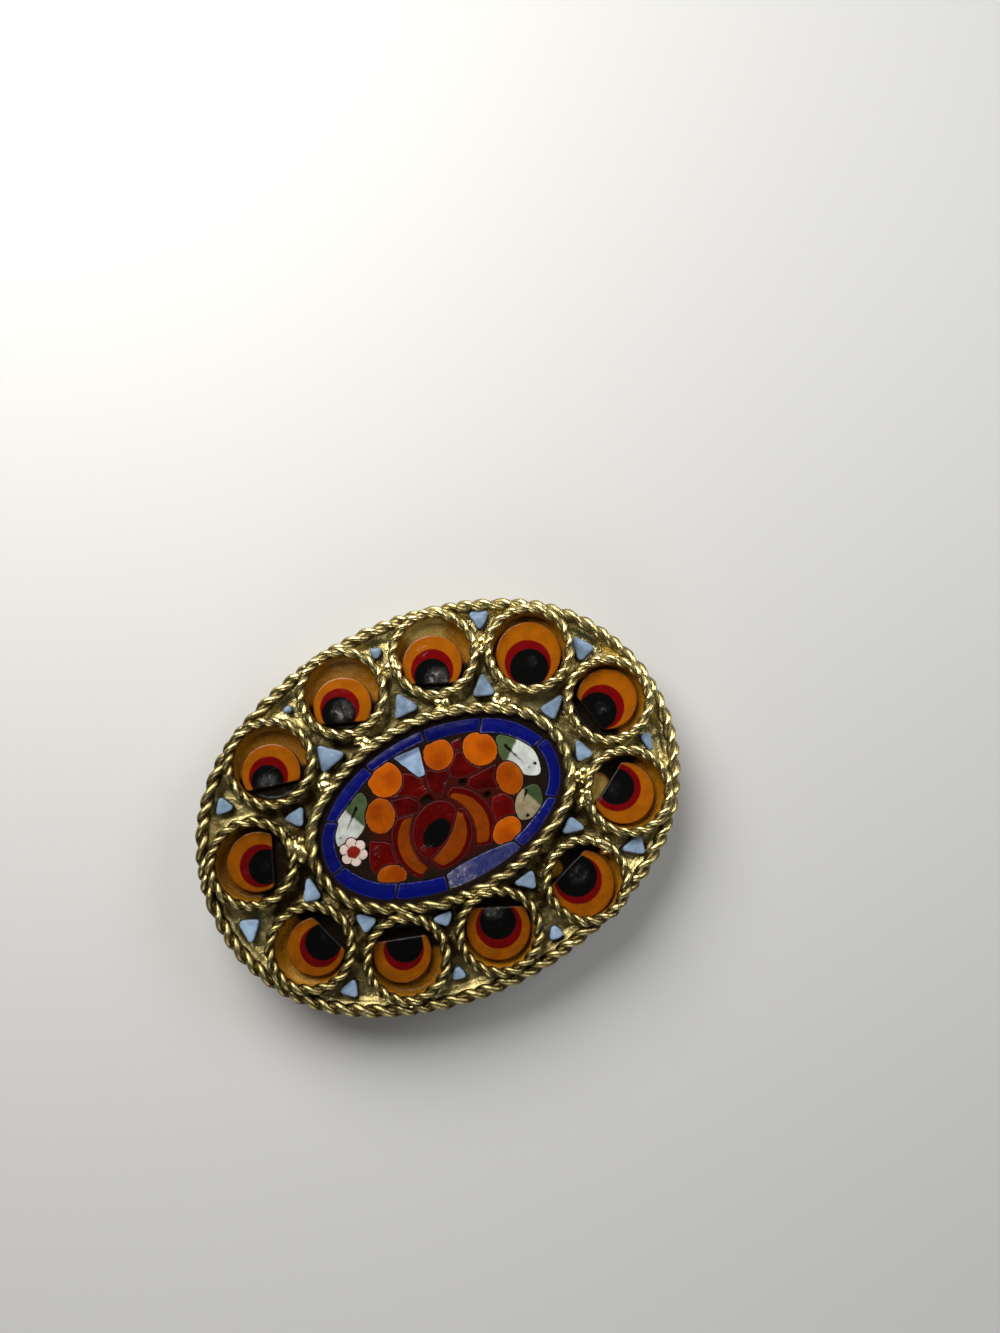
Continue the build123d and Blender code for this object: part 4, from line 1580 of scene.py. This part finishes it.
class BROOCH_OT_eyes(Operator):
    """Build the slices of eye cane"""

    bl_idname = "brooch.eyes"
    bl_label = "Eyes"

    def execute(self, context):
        colours = context.scene.brooch_colours
        material = glass_material(
            "Eye Glass",
            colours.eye_orange,
            [
                ("red_edge", colours.eye_red, 0.045, 0.06),
                ("black_edge", colours.black, 0.05, 0.05),
            ],
            speck_tint=(0.55, 0.35, 0.30, 1),
            speck_share=0.35,
            roughness=0.06,
            scratches=0.04,
        )
        for name in EYE_NAMES:
            make_glass(
                "eye_" + name,
                material,
                "eye_glass",
                partial(eye_layers, name),
                name="eye_glass_" + name,
                crown=0.05,
                unevenness=0.03,
                wear=4,
                chipping=0.03,
            )
        return {"FINISHED"}


def sky_tile_layers(flat):
    """How far points on the corner piece lie outside its greyer part, which is painted shade."""
    return {"grey_edge": in_field(0, SKY_TILE_GREY_FROM)[1] - flat[:, 1]}


class BROOCH_OT_triangles(Operator):
    """Build the light blue triangles between the rings, and the corner piece"""

    bl_idname = "brooch.triangles"
    bl_label = "Triangles"

    def execute(self, context):
        sky = context.scene.brooch_colours.sky
        looks = {"speck_tint": (0.35, 0.42, 0.60, 1), "speck_share": 0.6, "mottle": 0.9, "roughness": 0.25}
        material = glass_material("Sky Glass", sky, **looks)
        fit = {"wear": 12, "unevenness": 0.06, "round_by": 1.3, "grow": 0.13}
        for node in ("outer_triangles", "inner_triangles"):
            make_glass(node, material, "light_blue_glass", **fit)
        material = glass_material("Sky Tile Glass", sky, [("grey_edge", SKY_SHADE, 0.15, 0.3)], **looks)
        make_glass("sky_tile", material, "light_blue_glass", sky_tile_layers, wear=2, **FIELD_FIT)
        return {"FINISHED"}


def band_layers(node, flat):
    """How lavender, how scuffed and how lit points on a tile of the band are."""
    lavender, scuff, lit_edge = BAND_LOOKS.get(node, PLAIN_BAND)
    field_edge, _ = oval_line(*FIELD_HALF, CENTRE_END_RADIUS - WALL_TO_CEMENT, 200, FIELD_MIDDLE)
    inner_side = smooth(distance_to(field_edge, flat), 0.6, 0.9)
    low, high = node_box(node)
    left_end = 1 - smooth((flat[:, 0] - low[0]) / (high - low)[0], 0.15, 0.55)
    return {
        "lavender_edge": 0.26 - 0.36 * lavender,
        "scuff": scuff * (0.20 + left_end),
        "lit": lit_edge * np.maximum(inner_side, 0.15),
    }


class BROOCH_OT_band(Operator):
    """Build the dark blue band"""

    bl_idname = "brooch.band"
    bl_label = "Band"

    def execute(self, context):
        colours = context.scene.brooch_colours
        material = glass_material(
            "Navy Glass",
            colours.navy,
            [("lavender_edge", colours.lavender, 0.09, 0.45)],
            speck_tint=(0.5, 0.5, 0.6, 1),
            speck_share=0.5,
            mottle=0.9,
            roughness=0.2,
            scratches=0.05,
        )
        for node in nodes_named("band_tile_"):
            make_glass(node, material, "dark_blue_glass", partial(band_layers, node), **FIELD_FIT)
        return {"FINISHED"}


def arc_circle(arc):
    """The middle and radius of the circle through three places in the field."""
    start, halfway, end = (in_field(*place) for place in arc)
    sides = 2 * np.array([halfway - start, end - start])
    middle = np.linalg.solve(sides, [halfway @ halfway - start @ start, end @ end - start @ start])
    return middle, np.linalg.norm(start - middle)


def crescent_layers(arcs, flat):
    """How far points lie outside a crescent with worn ends; negative inside."""
    (outer_middle, outer_radius), (inner_middle, inner_radius) = (arc_circle(arc) for arc in arcs)
    sides = [distances(flat, outer_middle) - outer_radius, inner_radius - distances(flat, inner_middle)]
    halfway = (in_field(*arcs[0][1]) + in_field(*arcs[1][1])) / 2
    for end in (0, 2):
        outer_corner, inner_corner = in_field(*arcs[0][end]), in_field(*arcs[1][end])
        across = unit(outer_corner - inner_corner)
        beyond = np.array([-across[1], across[0]])
        tip = (outer_corner + inner_corner) / 2
        beyond = beyond * (1 if (tip - halfway) @ beyond > 0 else -1)
        sides.append((flat - tip) @ beyond)
    softness = 0.05
    grown = np.exp(np.clip(np.array(sides) / softness, -300, 300))
    return {"crescent_edge": softness * np.log(grown.sum(0))}


def heart_layers(flat):
    """How far points lie outside the black core of the rose's heart."""
    x, y, long_radius, short_radius, turn = HEART_CORE
    offset = flat - in_field(x, y)
    along = offset @ pointing(radians(turn))
    across = offset @ pointing(radians(turn + 90))
    return {"core_edge": (np.hypot(along / long_radius, across / short_radius) - 1) * short_radius}


class BROOCH_OT_rose(Operator):
    """Build the rose: its heart and curved petals"""

    bl_idname = "brooch.rose"
    bl_label = "Rose"

    def execute(self, context):
        colours = context.scene.brooch_colours
        red = colours.petal_red
        looks = {"speck_tint": (0.5, 0.4, 0.3, 1), "speck_share": 0.35, "roughness": 0.08, "scratches": 0.3}
        core = ("core_edge", colours.black, 0.06, 0.10)
        material = glass_material("Rose Heart Glass", red, [core], **looks)
        make_glass("rose_heart", material, "rose_heart_glass", heart_layers, **FIELD_FIT)
        crescent = ("crescent_edge", colours.crescent, 0.05, 0.10)
        material = glass_material("Rose Petal Glass", red, [crescent], **looks)
        for node, arcs in CRESCENTS.items():
            make_glass(node, material, "rose_petal_glass", partial(crescent_layers, arcs), **FIELD_FIT)
        return {"FINISHED"}


def bud_layers(node, ripe_turn, flat):
    """How far points lie outside the riper part of a bud."""
    ripe = node_middle(node) + RIPE_AWAY * pointing(ripe_turn)
    return {"ripe_edge": distances(flat, ripe) - RIPE_RADIUS}


class BROOCH_OT_petals(Operator):
    """Build the flat red petals and the orange buds"""

    bl_idname = "brooch.petals"
    bl_label = "Petals"

    def execute(self, context):
        colours = context.scene.brooch_colours
        material = glass_material(
            "Red Glass",
            colours.petal_red,
            speck_tint=(0.6, 0.5, 0.4, 1),
            speck_share=0.4,
            mottle=1.3,
            roughness=0.08,
            scratches=0.3,
        )
        make_glass("red_petals", material, "dark_red_glass", wear=1, **FIELD_FIT)
        material = glass_material(
            "Bud Glass",
            colours.bud,
            [("ripe_edge", colours.ripe, 0.35, 0.60)],
            speck_tint=(0.6, 0.35, 0.3, 1),
            speck_share=0.45,
            scratches=0.0,
        )
        for place, node in enumerate(nodes_named("bud_")):
            layers_of = partial(bud_layers, node, 2.1 * place)
            make_glass(node, material, "orange_glass", layers_of, crown=0.05, **FIELD_FIT)
        return {"FINISHED"}


def leaf_layers(node, flat):
    """How far points lie outside a leaf's cream, its green, and its dark notch and specks."""
    green_x, green_y, green_turn, notch_start, notch_end, notch_width = LEAVES[node]
    start = in_field(*notch_start)
    run = in_field(*notch_end) - start
    share = np.clip((flat - start) @ run / (run @ run), 0, 1)
    notch = np.linalg.norm(flat - start - share[:, None] * run, axis=1)
    dark = notch - notch_width / 2 * (1.1 - share)
    for x, y, radius in LEAF_DOTS:
        dark = np.minimum(dark, distances(flat, in_field(x, y)) - radius)
    return {
        "cream_edge": -1.0 if node == "leaf_right" else 1.0,
        "green_edge": (in_field(green_x, green_y) - flat) @ pointing(radians(green_turn)),
        "notch_edge": dark,
    }


def flower_layers(flat):
    """How far points lie outside the white flower's middle and the slits between its petals."""
    offset = flat - node_middle("white_flower")
    away = np.linalg.norm(offset, axis=1)
    turn = np.arctan2(offset[:, 1], offset[:, 0]) - radians(FLOWER_SLIT_TURN)
    slits = np.abs(np.sin(3 * turn)) * away / 3 - FLOWER_SLIT_WIDTH / 2
    return {
        "middle_edge": away - FLOWER_MIDDLE_RADIUS,
        "slit_edge": np.where(away > FLOWER_MIDDLE_RADIUS, slits, 1.0),
    }


class BROOCH_OT_leaves(Operator):
    """Build the leaves and the white flower"""

    bl_idname = "brooch.leaves"
    bl_label = "Leaves"

    def execute(self, context):
        colours = context.scene.brooch_colours
        material = glass_material(
            "Leaf Glass",
            colours.milk,
            [
                ("cream_edge", LEAF_CREAM, 0.10, 0.30),
                ("green_edge", colours.leaf_green, 0.10, 0.25),
                ("notch_edge", colours.black, 0.06, 0.18),
            ],
            speck_tint=(0.5, 0.5, 0.45, 1),
            speck_share=0.5,
            mottle=0.8,
            roughness=0.15,
            scratches=0.15,
        )
        for node in LEAVES:
            make_glass(node, material, "leaf_glass", partial(leaf_layers, node), **FIELD_FIT)
        material = glass_material(
            "Flower Glass",
            FLOWER_WHITE,
            [("slit_edge", FLOWER_SLIT, 0.04, 0.08), ("middle_edge", FLOWER_RED, 0.06, 0.30)],
            roughness=0.15,
            scratches=0.15,
        )
        make_glass("white_flower", material, "white_flower_glass", flower_layers, **FIELD_FIT)
        return {"FINISHED"}


class BROOCH_OT_pin(Operator):
    """Finish the pin"""

    bl_idname = "brooch.pin"
    bl_label = "Pin"

    def execute(self, context):
        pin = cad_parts["pin_back"]
        pin.data.materials.clear()
        pin.data.materials.append(back_material())
        return {"FINISHED"}


def area_light(name, place, size, power, colour):
    """A soft round light that faces the brooch."""
    light = bpy.data.lights.new(name, "AREA")
    light.shape = "DISK"
    light.size = size * MILLIMETRE
    light.energy = power
    light.color = colour
    lamp = bpy.data.objects.new(name, light)
    lamp.location = Vector(place) * MILLIMETRE
    lamp.rotation_euler = (-lamp.location).to_track_quat("-Z", "Y").to_euler()
    bpy.context.scene.collection.objects.link(lamp)


class BROOCH_OT_stage(Operator):
    """Build the floor, the light and the camera"""

    bl_idname = "brooch.stage"
    bl_label = "Stage"

    def execute(self, context):
        stage = context.scene.brooch_stage
        half = FLOOR_SIZE * MILLIMETRE / 2
        corners = [(-half, -half, 0), (half, -half, 0), (half, half, 0), (-half, half, 0)]
        mesh = bpy.data.meshes.new("floor")
        mesh.from_pydata(corners, [], [(0, 1, 2, 3)])
        material, tree = new_material("Pale Floor")
        add_shader(tree, Base_Color=tuple(stage.floor), Roughness=0.6)
        mesh.materials.append(material)
        floor = bpy.data.objects.new("floor", mesh)
        context.scene.collection.objects.link(floor)

        for light in LIGHTS:
            area_light(*light)
        world = bpy.data.worlds.new("Studio")
        world.use_nodes = True
        background = world.node_tree.nodes["Background"]
        background.inputs["Color"].default_value = (*WARM_LIGHT, 1)
        background.inputs["Strength"].default_value = WORLD_STRENGTH
        context.scene.world = world
        context.scene.view_settings.view_transform = "Standard"

        camera = bpy.data.cameras.new("camera")
        camera.lens = stage.lens
        camera.sensor_width = 36.0
        camera.clip_start = MILLIMETRE
        viewer = bpy.data.objects.new("camera", camera)
        viewer.location = stage.place
        viewer.rotation_euler = (stage.tilt, 0.0, stage.turn)
        context.scene.collection.objects.link(viewer)
        context.scene.camera = viewer
        return {"FINISHED"}


class BROOCH_PT_panel(Panel):
    """Lists the brooch's pieces"""

    bl_idname = "BROOCH_PT_panel"
    bl_label = "Micromosaic Brooch"
    bl_space_type = "VIEW_3D"
    bl_region_type = "UI"
    bl_category = "Brooch"

    def draw(self, context):
        for group in (context.scene.brooch_sizes, context.scene.brooch_colours, context.scene.brooch_stage):
            box = self.layout.box()
            for name in group.__annotations__:
                box.prop(group, name)
        for operator in OPERATORS:
            self.layout.operator(operator.bl_idname)


OPERATORS = (
    BROOCH_OT_plate,
    BROOCH_OT_walls,
    BROOCH_OT_ring_ropes,
    BROOCH_OT_centre_rope,
    BROOCH_OT_border_rope,
    BROOCH_OT_solder,
    BROOCH_OT_cement,
    BROOCH_OT_filler,
    BROOCH_OT_eyes,
    BROOCH_OT_triangles,
    BROOCH_OT_band,
    BROOCH_OT_rose,
    BROOCH_OT_petals,
    BROOCH_OT_leaves,
    BROOCH_OT_pin,
    BROOCH_OT_stage,
)
GROUPS = {
    "brooch_sizes": BroochSizes,
    "brooch_colours": BroochColours,
    "brooch_stage": BroochStage,
}
CLASSES = (*GROUPS.values(), *OPERATORS, BROOCH_PT_panel)


def register():
    for one in CLASSES:
        bpy.utils.register_class(one)
    for name, group in GROUPS.items():
        setattr(bpy.types.Scene, name, PointerProperty(type=group))


def unregister():
    for name in GROUPS:
        delattr(bpy.types.Scene, name)
    for one in reversed(CLASSES):
        bpy.utils.unregister_class(one)


def main():
    """Build the brooch and its stage."""
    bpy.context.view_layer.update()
    register()
    for operator in OPERATORS:
        group, name = operator.bl_idname.split(".")
        getattr(getattr(bpy.ops, group), name)()


if __name__ == "__main__":
    main()
